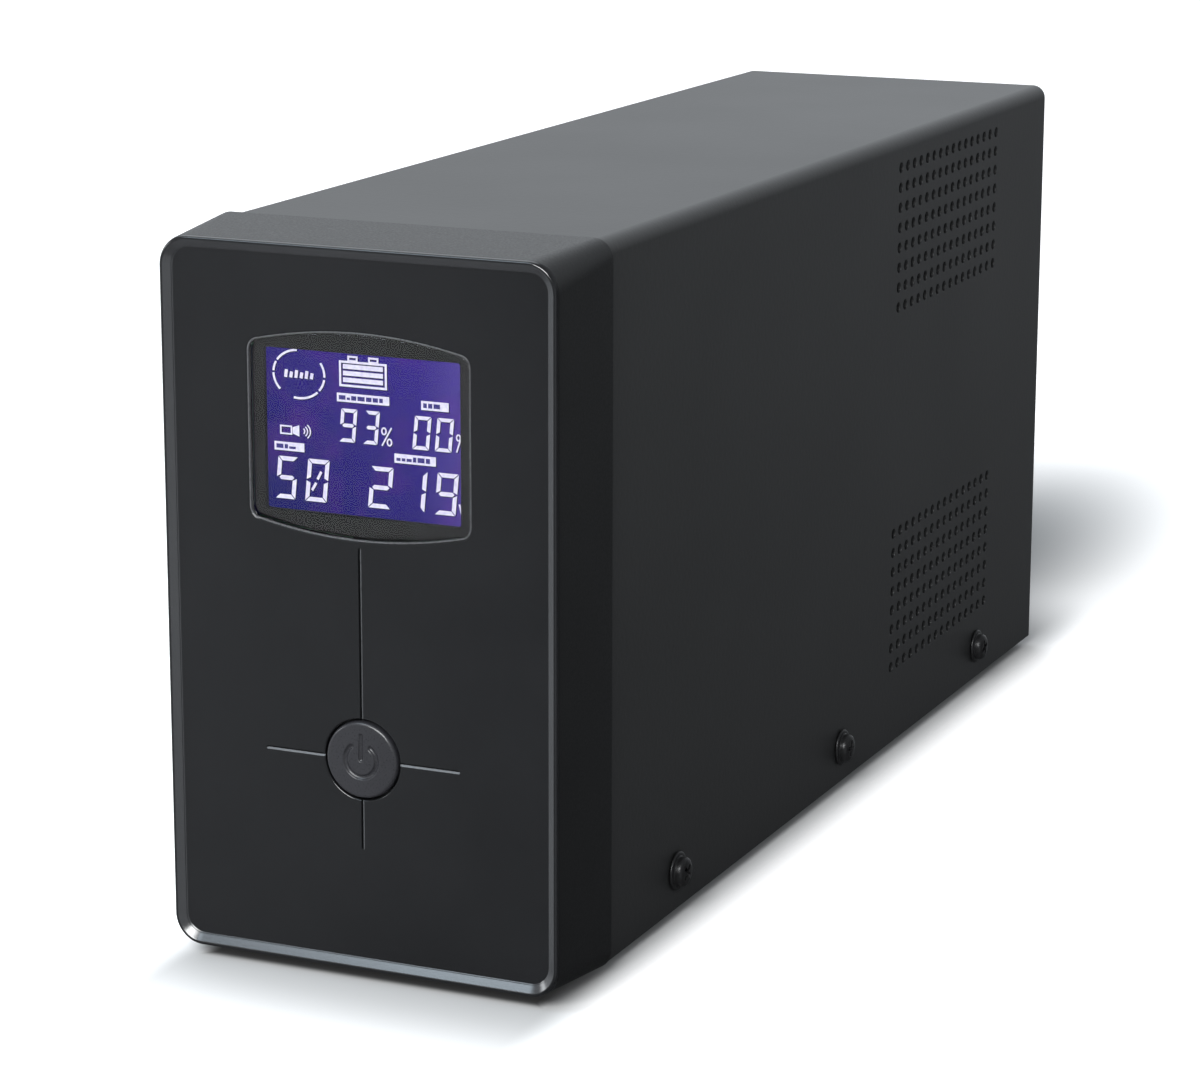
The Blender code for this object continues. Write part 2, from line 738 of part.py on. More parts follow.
def make_fuse_drawer():
    x, z = DRAWER_CENTRE
    half_x, half_z = DRAWER_HALF
    face = Y_FLANGE + FLANGE_THICKNESS + 0.6 * MM
    back = Y_FLANGE + FLANGE_THICKNESS - 17.6 * MM
    origin = (x, face, z)
    body = box((x - half_x, back, z - half_z), (x + half_x, face, z + half_z))
    drawer = piece("fuse_drawer", body, ((0.03, 0.03, 0.03), 0.4), origin)
    trough_front = back + 2.0 * MM
    trough_back = trough_front + 5.9 * MM
    fuse_half = 10.4 * MM
    trough_low = (x - fuse_half, trough_front, z - half_z + MM)
    trough_high = (x + fuse_half, trough_back, z + half_z + MM)
    pull_low = (x - 5.0 * MM, face - 1.6 * MM, z + half_z - 1.4 * MM)
    pull_high = (x + 5.0 * MM, face + MM, z + half_z + MM)
    cut(drawer, joined([box(trough_low, trough_high), box(pull_low, pull_high)]), "trough")

    radius = 2.6 * MM
    fuse_y = (trough_front + trough_back) / 2
    fuse_z = z - half_z + MM + GAP + radius
    cap = 5.0 * MM
    length = 10.0 * MM
    profile = [
        (0, x - length),
        (radius, x - length),
        (radius, x - length + cap),
        (radius - 0.2 * MM, x - length + cap),
        (radius - 0.2 * MM, x + length - cap),
        (radius, x + length - cap),
        (radius, x + length),
        (0, x + length),
    ]
    fuse = turned("X", (fuse_y, fuse_z), profile, 12)
    piece("fuse", fuse, ((0.7, 0.7, 0.7), 0.25, 0.7), (x, face, z), smooth=True)


def make_outlets():
    """Female mains outlets: a block with three slots, standing in a moat for the plug."""
    face = Y_FLANGE + FLANGE_THICKNESS
    for number, (x, height) in enumerate(OUTLET_CENTRES, start=1):
        centre = (x, Z_CASE + height)
        shape = flanged_block(centre, OUTLET_HALF, 1.6 * MM, SOCKET_BACK)
        outlet = piece(f"mains_outlet_{number}", shape, BLACK_PLASTIC)
        moat = ring_prism(
            "Y",
            connector_outline(0, centre),
            connector_outline(1.9 * MM, centre),
            face - CONNECTOR_DEPTH + 2.0 * MM,
            face + MM,
        )
        slots = []
        for dx, dz in ((-7.0 * MM, -2.0 * MM), (0, 2.0 * MM), (7.0 * MM, -2.0 * MM)):
            slot = rectangle(1.3 * MM, 2.3 * MM, (centre[0] + dx, centre[1] + dz))
            slots.append(prism("Y", slot, face - 14.0 * MM, face + MM))
        cut(outlet, joined([moat] + slots), "slots")


def make_data_ports():
    face = Y_FLANGE + FLANGE_THICKNESS
    centre = (USB_CENTRE[0], Z_CASE + USB_CENTRE[1])
    shape = flanged_block(centre, USB_HALF, 0.9 * MM, face - 16.0 * MM)
    usb = piece("usb_port", shape, BARE_STEEL)
    mouth = rectangle(4.4 * MM, 4.0 * MM, centre)
    tongue = rectangle(2.8 * MM, 1.6 * MM, centre)
    cut(usb, ring_prism("Y", mouth, tongue, face - 10.0 * MM, face + MM), "mouth")

    centre = (JACK_CENTRE[0], Z_CASE + JACK_CENTRE[1])
    shape = flanged_block(centre, JACK_HALF, 1.2 * MM, face - 16.0 * MM)
    jack = piece("surge_jacks", shape, BLACK_PLASTIC)
    cavities = []
    for dx in (-7.3 * MM, 7.3 * MM):
        x, z = centre[0] + dx, centre[1] + 0.6 * MM
        # The lower notches take the plug's latch.
        outline = [
            (x - 5.9 * MM, z + 3.6 * MM),
            (x - 5.9 * MM, z - 3.2 * MM),
            (x - 3.1 * MM, z - 3.2 * MM),
            (x - 3.1 * MM, z - 4.9 * MM),
            (x + 3.1 * MM, z - 4.9 * MM),
            (x + 3.1 * MM, z - 3.2 * MM),
            (x + 5.9 * MM, z - 3.2 * MM),
            (x + 5.9 * MM, z + 3.6 * MM),
        ]
        cavities.append(prism("Y", outline, face - 13.0 * MM, face + MM))
    cut(jack, joined(cavities), "cavities")


# --- Inside ---------------------------------------------------------------------------


def make_battery():
    half = BATTERY_WIDTH / 2
    low = (-half, BATTERY_FRONT, BATTERY_BOTTOM)
    high = (half, BATTERY_FRONT + BATTERY_LENGTH, BATTERY_TOP)
    bevel(piece("battery", box(low, high), ((0.05, 0.05, 0.055), 0.5)), 1.5 * MM)
    base = BATTERY_TOP + GAP
    for name, x in (("negative", -TERMINAL_X), ("positive", TERMINAL_X)):
        thickness = 0.8 * MM
        outline = [
            (TERMINAL_Y - 3.0 * MM, base),
            (TERMINAL_Y + 3.0 * MM, base),
            (TERMINAL_Y + 3.0 * MM, base + thickness),
            (TERMINAL_Y - 3.0 * MM + thickness, base + thickness),
            (TERMINAL_Y - 3.0 * MM + thickness, base + 7.5 * MM),
            (TERMINAL_Y - 3.0 * MM, base + 7.5 * MM),
        ]
        tab = prism("X", outline, x - 3.2 * MM, x + 3.2 * MM)
        piece(f"battery_terminal_{name}", tab, BARE_STEEL)


def bridge_outline(half, top, thickness, foot):
    """A sheet bridge with two turned-out feet, standing on the chassis."""
    floor = TRAY_TOP + GAP
    right = [
        (half - thickness, floor),
        (half + foot, floor),
        (half + foot, floor + thickness),
        (half, floor + thickness),
        (half, top),
    ]
    inner = (half - thickness, top - thickness)
    left = [(-x, z) for x, z in reversed(right)]
    return right + left + [(-inner[0], inner[1]), inner]


def make_board_bridges():
    """Two bridges hold the battery down and carry the main board above it."""
    half = BATTERY_WIDTH / 2 + GAP + SHEET
    top = MAIN_BOARD_Z - GAP
    outline = bridge_outline(half, top, SHEET, 3.4 * MM)
    for number, along in enumerate((30.0 * MM, 120.0 * MM), start=1):
        start = BATTERY_FRONT + along
        piece(f"board_bridge_{number}", prism("Y", outline, start, start + 14.0 * MM), BARE_STEEL)


def make_transformer():
    middle_y = BATTERY_FRONT + BATTERY_LENGTH + 37.0 * MM
    half_stack = CORE_STACK / 2
    bottom = TRAY_TOP + 1.5 * MM
    top = bottom + CORE_HEIGHT
    middle_z = (bottom + top) / 2
    start, end = middle_y - half_stack, middle_y + half_stack
    half = CORE_WIDTH / 2
    leg = CORE_WIDTH / 6
    window_half = 16.5 * MM
    core = piece("transformer_core", box((-half, start, bottom), (half, end, top)), BARE_STEEL)
    windows = []
    for x in (-1.5 * leg, 1.5 * leg):
        outline = rectangle(leg / 2, window_half, (x, middle_z))
        windows.append(prism("Y", outline, start - MM, end + MM))
    cut(core, joined(windows), "windows")

    inner = rounded_rectangle(leg + 0.4 * MM, half_stack + 0.4 * MM, MM, (0, middle_y), 2)
    outer = rounded_rectangle(2 * leg - 0.5 * MM, half_stack + 9.5 * MM, 5 * MM, (0, middle_y), 2)
    low, high = middle_z - window_half + 0.6 * MM, middle_z + window_half - 0.6 * MM
    coil = ring_prism("Z", outer, inner, low, high)
    piece("transformer_coil", coil, ((0.55, 0.42, 0.12), 0.5))

    bridge = bridge_outline(half + GAP + SHEET, top + GAP + SHEET, SHEET, 3.0 * MM)
    start, end = middle_y - 12.0 * MM, middle_y + 12.0 * MM
    piece("transformer_bridge", prism("Y", bridge, start, end), BARE_STEEL)


def make_heat_sink():
    base_left, base_right = -20.0 * MM, -17.0 * MM
    fin_left = -34.0 * MM
    pitch, thickness, fins = 4.2 * MM, 1.4 * MM, 6
    bottom = MAIN_BOARD_TOP + GAP
    outline = [(base_right, bottom)]
    for fin in range(fins):
        z = bottom + fin * pitch
        outline += [(fin_left, z), (fin_left, z + thickness)]
        if fin < fins - 1:
            outline += [(base_left, z + thickness), (base_left, z + pitch)]
    outline.append((base_right, bottom + (fins - 1) * pitch + thickness))
    start = MAIN_BOARD_FRONT + 30.0 * MM
    length = 62.0 * MM
    sink = prism("Y", outline, start, start + length)
    piece("heat_sink", sink, ((0.7, 0.71, 0.72), 0.35, 0.9))

    width, body, tab = 10.0 * MM, 4.5 * MM, 1.3 * MM
    face = base_right + GAP
    transistor = [
        (face, bottom + 3.0 * MM),
        (face + tab, bottom + 3.0 * MM),
        (face + tab, bottom),
        (face + 2 * tab, bottom),
        (face + 2 * tab, bottom + 3.0 * MM),
        (face + body, bottom + 3.0 * MM),
        (face + body, bottom + 12.0 * MM),
        (face + tab, bottom + 12.0 * MM),
        (face + tab, bottom + 18.0 * MM),
        (face, bottom + 18.0 * MM),
    ]
    for number in range(1, 5):
        middle = start + length * (number - 0.5) / 4
        shape = prism("Y", transistor, middle - width / 2, middle + width / 2)
        piece(f"power_transistor_{number}", shape, ((0.03, 0.03, 0.03), 0.4))


def make_board_parts():
    half = 35.5 * MM
    low = (-half, MAIN_BOARD_FRONT, MAIN_BOARD_Z)
    high = (half, MAIN_BOARD_BACK, MAIN_BOARD_TOP)
    piece("main_board", box(low, high), BOARD_GREEN)
    base = MAIN_BOARD_TOP + GAP
    for number, along in enumerate((20.0 * MM, 52.0 * MM), start=1):
        y = MAIN_BOARD_FRONT + along
        relay = box((12.0 * MM, y, base), (31.0 * MM, y + 15.0 * MM, base + 15.5 * MM))
        bevel(piece(f"relay_{number}", relay, ((0.02, 0.10, 0.35), 0.35)), 0.5 * MM)
    for number, along in enumerate((88.0 * MM, 108.0 * MM), start=1):
        radius, height, lip = 6.5 * MM, 20.0 * MM, 0.6 * MM
        profile = [
            (0, base),
            (radius - lip, base),
            (radius, base + lip),
            (radius, base + height - lip),
            (radius - lip, base + height),
            (0, base + height),
        ]
        can = turned("Z", (20.0 * MM, MAIN_BOARD_FRONT + along), profile, 16)
        piece(f"capacitor_{number}", can, ((0.03, 0.04, 0.12), 0.35), smooth=True)
    centre = (-24.0 * MM, MAIN_BOARD_FRONT + 108.0 * MM)
    buzzer = [
        (0, base),
        (6.0 * MM, base),
        (6.0 * MM, base + 9.0 * MM),
        (1.2 * MM, base + 9.0 * MM),
        (1.2 * MM, base + 6.0 * MM),
        (0, base + 6.0 * MM),
    ]
    piece("alarm_buzzer", turned("Z", centre, buzzer, 16), ((0.03, 0.03, 0.03), 0.4), smooth=True)


def lead(name, points, radius, finish):
    """A wire between two pieces, as a tube through smooth points."""
    curve = bpy.data.curves.new(name, "CURVE")
    curve.dimensions = "3D"
    curve.bevel_depth = radius
    curve.bevel_resolution = 2
    curve.use_fill_caps = True
    smooth = spline_through(points, 6)
    spline = curve.splines.new("POLY")
    spline.points.add(len(smooth) - 1)
    for point, where in zip(spline.points, smooth):
        point.co = (*where, 1)
    obj = bpy.data.objects.new(name, curve)
    bpy.context.collection.objects.link(obj)
    curve.materials.append(material(name + "_finish", *finish))


def spline_through(points, steps):
    """Points on a Catmull-Rom curve through the given ones."""
    ends = [Vector(p) for p in points]
    ends = [2 * ends[0] - ends[1]] + ends + [2 * ends[-1] - ends[-2]]
    found = []
    for k in range(1, len(ends) - 2):
        before, a, b, after = ends[k - 1 : k + 3]
        for step in range(steps):
            t = step / steps
            found.append(
                0.5
                * (
                    2 * a
                    + (b - before) * t
                    + (2 * before - 5 * a + 4 * b - after) * t**2
                    + (3 * a - before - 3 * b + after) * t**3
                )
            )
    found.append(ends[-2])
    return found


def make_wiring():
    """Battery leads up to the main board, and a ribbon from the display board."""
    clear = 1.8 * MM
    tip = BATTERY_TOP + GAP + 7.5 * MM + GAP + clear
    landing = MAIN_BOARD_TOP + GAP
    for name, x, colour in (
        ("negative", -TERMINAL_X, (0.02, 0.02, 0.02)),
        ("positive", TERMINAL_X, (0.5, 0.02, 0.02)),
    ):
        inward = -math.copysign(5.0 * MM, x)
        points = [
            (x, TERMINAL_Y - 2.6 * MM, tip - clear),
            (x, TERMINAL_Y - 2.6 * MM, tip + 4.0 * MM),
            (x + inward * 0.3, TERMINAL_Y + 3.0 * MM, landing + 8.0 * MM),
            (x + inward, MAIN_BOARD_FRONT + 4.5 * MM, landing + 5.0 * MM),
            (x + inward, MAIN_BOARD_FRONT + 6.0 * MM, landing),
        ]
        lead(f"battery_lead_{name}", points, 1.2 * MM, (colour, 0.5))

    start = DISPLAY_BOARD_Y + BOARD_THICKNESS + GAP
    ribbon_z = Z_CASE + 118.0 * MM
    drop = landing + 0.4 * MM
    route = [
        (start, ribbon_z),
        (Y_SEAM, ribbon_z + 1.0 * MM),
        (BULKHEAD_BACK + 6.0 * MM, ribbon_z + 0.5 * MM),
        (MAIN_BOARD_FRONT + 3.0 * MM, drop + 2.0 * MM),
        (MAIN_BOARD_FRONT + 9.0 * MM, drop),
    ]
    middle = [(0, y, z) for y, z in route]
    line = [(p.y, p.z) for p in spline_through(middle, 4)]
    thickness = 0.8 * MM
    outline = line + [(y, z + thickness) for y, z in reversed(line)]
    ribbon = prism("X", outline, -6.0 * MM, 6.0 * MM)
    piece("display_ribbon", ribbon, ((0.5, 0.5, 0.52), 0.5))


def main():
    clear_scene()
    make_bezel()
    make_display()
    make_button()
    make_cover()
    make_chassis()
    make_cover_screws()
    make_bezel_screws()
    make_feet()
    make_rear_panel()
    make_inlet()
    make_fuse_drawer()
    make_outlets()
    make_data_ports()
    make_battery()
    make_board_bridges()
    make_transformer()
    make_board_parts()
    make_heat_sink()
    make_wiring()


main()
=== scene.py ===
"""The finished look of a small uninterruptible power supply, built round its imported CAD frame.

The frame has +X to the right of the front, +Y to the back and +Z up. Shapes and places are in
millimetres here, and new_object turns them into the frame's metres.
"""

import math
import random

import bmesh
import bpy
from mathutils import Matrix, Vector
from mathutils.geometry import delaunay_2d_cdt


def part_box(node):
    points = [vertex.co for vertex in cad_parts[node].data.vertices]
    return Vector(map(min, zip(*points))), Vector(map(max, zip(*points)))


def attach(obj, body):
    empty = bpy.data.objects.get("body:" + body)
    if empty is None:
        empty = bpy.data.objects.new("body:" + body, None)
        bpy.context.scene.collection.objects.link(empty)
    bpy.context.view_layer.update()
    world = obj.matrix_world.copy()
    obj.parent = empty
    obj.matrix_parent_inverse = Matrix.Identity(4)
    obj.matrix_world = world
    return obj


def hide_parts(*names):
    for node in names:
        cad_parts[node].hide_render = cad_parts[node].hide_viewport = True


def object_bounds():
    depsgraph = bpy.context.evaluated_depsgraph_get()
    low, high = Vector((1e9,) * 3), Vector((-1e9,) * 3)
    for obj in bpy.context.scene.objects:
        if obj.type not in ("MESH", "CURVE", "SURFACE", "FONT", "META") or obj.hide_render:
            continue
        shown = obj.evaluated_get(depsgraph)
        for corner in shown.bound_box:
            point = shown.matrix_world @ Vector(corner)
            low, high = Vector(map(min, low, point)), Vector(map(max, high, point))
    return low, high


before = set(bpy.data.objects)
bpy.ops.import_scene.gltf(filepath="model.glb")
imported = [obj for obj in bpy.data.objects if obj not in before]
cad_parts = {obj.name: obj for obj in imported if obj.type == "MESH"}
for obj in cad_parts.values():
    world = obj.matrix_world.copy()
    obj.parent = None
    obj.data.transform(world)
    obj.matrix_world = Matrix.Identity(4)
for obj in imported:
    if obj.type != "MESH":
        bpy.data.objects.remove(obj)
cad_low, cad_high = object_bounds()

MM = 0.001
GAP = 0.3


def box(node):
    """The lower and upper corner of a node's box."""
    low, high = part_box(node)
    return Vector(low) / MM, Vector(high) / MM


def middle(node, axes="xz"):
    """A node's centre and half size in two axes."""
    low, high = box(node)
    ends = [(getattr(low, axis), getattr(high, axis)) for axis in axes]
    return tuple((a + b) / 2 for a, b in ends), tuple((b - a) / 2 for a, b in ends)


# Places read from the frame
cover_low, cover_high = box("top_cover")
bezel_low, bezel_high = box("front_bezel")
lens_low, lens_high = box("display_lens")
mask_low, mask_high = box("display_mask")
lcd_low, lcd_high = box("lcd_glass")
button_low, button_high = box("power_button")

CASE_X = cover_high.x
CASE_BOTTOM = cover_low.z
CASE_TOP = cover_high.z
CASE_MIDDLE = (CASE_BOTTOM + CASE_TOP) / 2
Y_SEAM = cover_low.y
Y_REAR = cover_high.y
Y_FRONT = bezel_low.y
Y_PANEL = lens_low.y
WINDOW_Z = (lens_low.z + lens_high.z) / 2
BUTTON_Z = (button_low.z + button_high.z) / 2

# Steel cover
SHEET = 1.0
BEND = 3.0
SHEET_EDGE = 0.15
VENT_COLUMNS = 16
VENT_ROWS = 8
VENT_PITCH = 4.48
VENT_RADIUS = 1.22
VENT_LIP = 0.12
VENT_FROM_SEAM = 195.2
VENT_HEIGHTS = (33.9, 117.3)
SCREW_HOLE = 2.2

# Moulded front
BEZEL_WALL = 2.5
BEZEL_BACK_RADIUS = 4.0
BEZEL_FRONT_HALF = (40.9, 69.5)
BEZEL_FRONT_RADIUS = 6.0
PANEL_THICKNESS = 2.4
CORNER_STEPS = 14

# Display window
WINDOW_HALF_WIDTH = 23.0
WINDOW_CORNER_HEIGHT = 16.7
WINDOW_BOW = 2.9
WINDOW_CORNER = 2.5
LCD_HALF = (20.2, 15.3)

# Power button
BUTTON_BORE = 7.9
BUTTON_RADIUS = 7.5
GROOVE_HALF = 0.28
GROOVE_DEPTH = 0.28
SLOT_DEPTH = 0.75
GROOVE_TOP = 85.2
GROOVE_BOTTOM = 26.6
GROOVE_REACH = 20.4


# --- Mesh helpers ---


def place(axis, u, v, along):
    """A point whose two coordinates across the axis are u and v."""
    if axis == "X":
        return (along, u, v)
    if axis == "Y":
        return (u, along, v)
    return (u, v, along)


def bridge(faces, first, second, count, skip=()):
    """Faces between two equal loops, given by the number of their first point."""
    for i in range(count):
        if i not in skip:
            j = (i + 1) % count
            faces.append((first + i, first + j, second + j, second + i))


def circle(radius, sides, centre=(0, 0), start=0.0):
    """Points round a circle, the first one `start` steps past its first axis."""
    turns = [2 * math.pi * (i + start) / sides for i in range(sides)]
    return [(centre[0] + radius * math.cos(turn), centre[1] + radius * math.sin(turn)) for turn in turns]


def quarter(steps, radius):
    """A rounded edge in equal steps, from (radius, 0) to (0, radius)."""
    turns = [math.pi / 2 * step / steps for step in range(steps + 1)]
    return [(radius * (1 - math.sin(turn)), radius * (1 - math.cos(turn))) for turn in turns]


def loft(axis, stations, ring=False):
    """A closed shape through equal loops, each an outline and its place on the axis.

    A ring has its last loop joined to its first, and no ends.
    """
    verts, faces = [], []
    for outline, along in stations:
        verts += [place(axis, u, v, along) for u, v in outline]
    count = len(stations[0][0])
    for k in range(len(stations) - 1):
        bridge(faces, k * count, (k + 1) * count, count)
    last = (len(stations) - 1) * count
    if ring:
        bridge(faces, last, 0, count)
    else:
        faces += [tuple(range(count)), tuple(range(last, last + count))]
    return verts, faces


def turned(axis, centre, profile, sides):
    """A closed shape turned about a line along the axis: profile holds (radius, place)."""
    verts, faces, rings = [], [], []
    for radius, along in profile:
        rings.append(len(verts))
        points = circle(radius, sides, centre, 0.5) if radius > 0 else [centre]
        verts += [place(axis, u, v, along) for u, v in points]
    for k in range(len(profile) - 1):
        a, b = rings[k], rings[k + 1]
        for i in range(sides):
            j = (i + 1) % sides
            if profile[k][0] == 0:
                faces.append((a, b + i, b + j))
            elif profile[k + 1][0] == 0:
                faces.append((a + i, b, a + j))
            else:
                faces.append((a + i, b + i, b + j, a + j))
    return verts, faces


def joined(shapes):
    verts, faces = [], []
    for shape_verts, shape_faces in shapes:
        first = len(verts)
        verts += shape_verts
        faces += [tuple(first + i for i in face) for face in shape_faces]
    return verts, faces


def soft_polygon(corners, steps=4):
    """An outline whose corners, each (x, z, radius), are rounded. The same steps on each."""
    points = []
    count = len(corners)
    for k, (x, z, radius) in enumerate(corners):
        here = Vector((x, z))
        before = (Vector(corners[k - 1][:2]) - here).normalized()
        after = (Vector(corners[(k + 1) % count][:2]) - here).normalized()
        half = before.angle(after) / 2
        reach = radius / math.tan(half)
        centre = here + (before + after).normalized() * (radius / math.sin(half))
        start = here + before * reach - centre
        turn = math.pi - 2 * half
        side = 1 if before.x * after.y - before.y * after.x < 0 else -1
        for step in range(steps + 1):
            angle = side * turn * step / steps
            c, s = math.cos(angle), math.sin(angle)
            points.append((centre.x + c * start.x - s * start.y, centre.y + s * start.x + c * start.y))
    return points


def soft_rectangle(half_width, half_height, radius, centre=(0, 0), steps=4):
    x, z = centre
    signs = ((-1, -1), (1, -1), (1, 1), (-1, 1))
    return soft_polygon([(x + u * half_width, z + v * half_height, radius) for u, v in signs], steps)


def soft_box(low, high, radius, steps=3):
    """A box whose edges are all rounded."""
    centre = ((low[0] + high[0]) / 2, (low[2] + high[2]) / 2)
    half_width, half_height = (high[0] - low[0]) / 2, (high[2] - low[2]) / 2
    edge = quarter(steps, radius)
    stations = []
    for end, sign, turns in ((low[1], 1, edge), (high[1], -1, edge[::-1])):
        for inset, along in turns:
            size = (half_width - inset, half_height - inset, radius - 0.5 * inset)
            stations.append((soft_rectangle(*size, centre, steps), end + sign * along))
    return loft("Y", stations)


def window_outline(inset):
    """The display window: straight sides, and a top and bottom that bow outwards."""
    half_width = WINDOW_HALF_WIDTH - inset
    radius = WINDOW_CORNER - inset
    top = []
    for step in range(25):
        x = (half_width - radius) * (1 - step / 12)
        rise = WINDOW_BOW * (1 - (x / WINDOW_HALF_WIDTH) ** 2)
        top.append((x, WINDOW_CORNER_HEIGHT - inset + rise))
    corner_z = top[0][1] - radius
    slope = math.atan(2 * WINDOW_BOW * (half_width - radius) / WINDOW_HALF_WIDTH**2)
    turn = math.pi / 2 - slope
    right = []
    for step in range(8):
        angle = turn * step / 8
        right.append((half_width - radius * (1 - math.cos(angle)), corner_z + radius * math.sin(angle)))
    left = [(-x, z) for x, z in reversed(right)]
    upper = right + top + left
    lower = [(-x, -z) for x, z in upper]
    return [(x, WINDOW_Z + z) for x, z in upper + lower]


def lip(outline_at, start, radius, steps=4):
    """Stations round an edge: from the face at `start` inwards, with outline_at(inset)."""
    return [(outline_at(inset), start + along) for inset, along in quarter(steps, radius)]


def plate(low, high, circles, sides):
    """A flat rectangle with round holes, as triangles: circles hold (u, v, radius)."""
    points = [(low[0], low[1]), (high[0], low[1]), (high[0], high[1]), (low[0], high[1])]
    edges = [(0, 1), (1, 2), (2, 3), (3, 0)]
    for u, v, radius in circles:
        first = len(points)
        points += circle(radius, sides, (u, v))
        edges += [(first + i, first + (i + 1) % sides) for i in range(sides)]
    found = delaunay_2d_cdt([Vector(point) for point in points], edges, [], 0, 1e-6)
    faces = []
    flat = math.cos(math.pi / sides)
    for face in found[2]:
        centre = sum((found[0][i] for i in face), Vector((0, 0))) / len(face)
        if all(math.hypot(centre.x - u, centre.y - v) > radius * flat for u, v, radius in circles):
            faces.append(tuple(face))
    return found[0], faces


def new_object(name, shape, materials, angle=35, weld=1e-7):
    """An object from a shape in millimetres, shaded smooth up to the given angle between faces."""
    verts, faces = shape
    mesh = bpy.data.meshes.new(name)
    mesh.from_pydata([Vector(v) * MM for v in verts], [], faces)
    work = bmesh.new()
    work.from_mesh(mesh)
    if weld:
        bmesh.ops.remove_doubles(work, verts=work.verts, dist=weld)
    bmesh.ops.recalc_face_normals(work, faces=work.faces)
    work.to_mesh(mesh)
    work.free()
    obj = bpy.data.objects.new(name, mesh)
    bpy.context.collection.objects.link(obj)
    for finish in materials:
        mesh.materials.append(finish)
    smooth(obj, angle)
    return obj


def smooth(obj, angle=35):
    obj.data.shade_smooth()
    obj.data.set_sharp_from_angle(angle=math.radians(angle))


def weighted(obj):
    """Flat faces keep their flat shading next to rounded edges."""
    modifier = obj.modifiers.new("weighted", "WEIGHTED_NORMAL")
    modifier.keep_sharp = True
    modifier.weight = 80


def apply_modifiers(obj):
    graph = bpy.context.evaluated_depsgraph_get()
    mesh = bpy.data.meshes.new_from_object(obj.evaluated_get(graph), depsgraph=graph)
    old = obj.data
    obj.modifiers.clear()
    obj.data = mesh
    bpy.data.meshes.remove(old)


def carve(obj, shape, angle):
    """Cuts a shape out of the object for good."""
    cutter = new_object(obj.name + "_cutter", shape, [], weld=0)
    modifier = obj.modifiers.new("carve", "BOOLEAN")
    modifier.operation = "DIFFERENCE"
    modifier.solver = "EXACT"
    modifier.object = cutter
    apply_modifiers(obj)
    mesh = cutter.data
    bpy.data.objects.remove(cutter)
    bpy.data.meshes.remove(mesh)
    smooth(obj, angle)


def settle(obj, body, slot, *nodes):
    """The piece rides on a body and stands for these nodes, which it hides. The slot is not used."""
    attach(obj, body)
    if nodes:
        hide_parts(*nodes)


def piece(name, shape, finish, slot, *nodes, body="case", angle=35, flat=False, weld=1e-7, cuts=()):
    """A settled object of one finish, after its cuts. A flat one has plain flat faces beside round edges."""
    obj = new_object(name, shape, [finish], angle, weld)
    for shape in cuts:
        carve(obj, shape, angle)
    if flat:
        weighted(obj)
    settle(obj, body, slot, *nodes)


# --- Materials ---


class Nodes:
    """A node tree and short ways to add to it."""

    def __init__(self, tree):
        self.nodes, self.links = tree.nodes, tree.links

    def feed(self, socket, value):
        """Links a socket or sets a value, where a tuple of three is an opaque colour."""
        if isinstance(value, bpy.types.NodeSocket):
            self.links.new(value, socket)
        else:
            is_colour = socket.type == "RGBA" and len(value) == 3
            socket.default_value = (*value, 1) if is_colour else value

    def add(self, kind, inputs, **settings):
        node = self.nodes.new("ShaderNode" + kind)
        for key, value in settings.items():
            setattr(node, key, value)
        for key, value in inputs.items():
            self.feed(node.inputs[key], value)
        return node

    def remap(self, value, low, high, start, end, **settings):
        inputs = {"Value": value, "From Min": low, "From Max": high, "To Min": start, "To Max": end}
        return self.add("MapRange", inputs, **settings).outputs[0]

    def math(self, operation, first, second=0.5):
        return self.add("Math", {0: first, 1: second}, operation=operation).outputs[0]

    def vector(self, operation, first, second=(0, 0, 0), output=0):
        node = self.add("VectorMath", {0: first, 1: second}, operation=operation)
        return node.outputs[output]

    def blend(self, amount, first, second):
        return self.add("Mix", {0: amount, 6: first, 7: second}, data_type="RGBA").outputs[2]


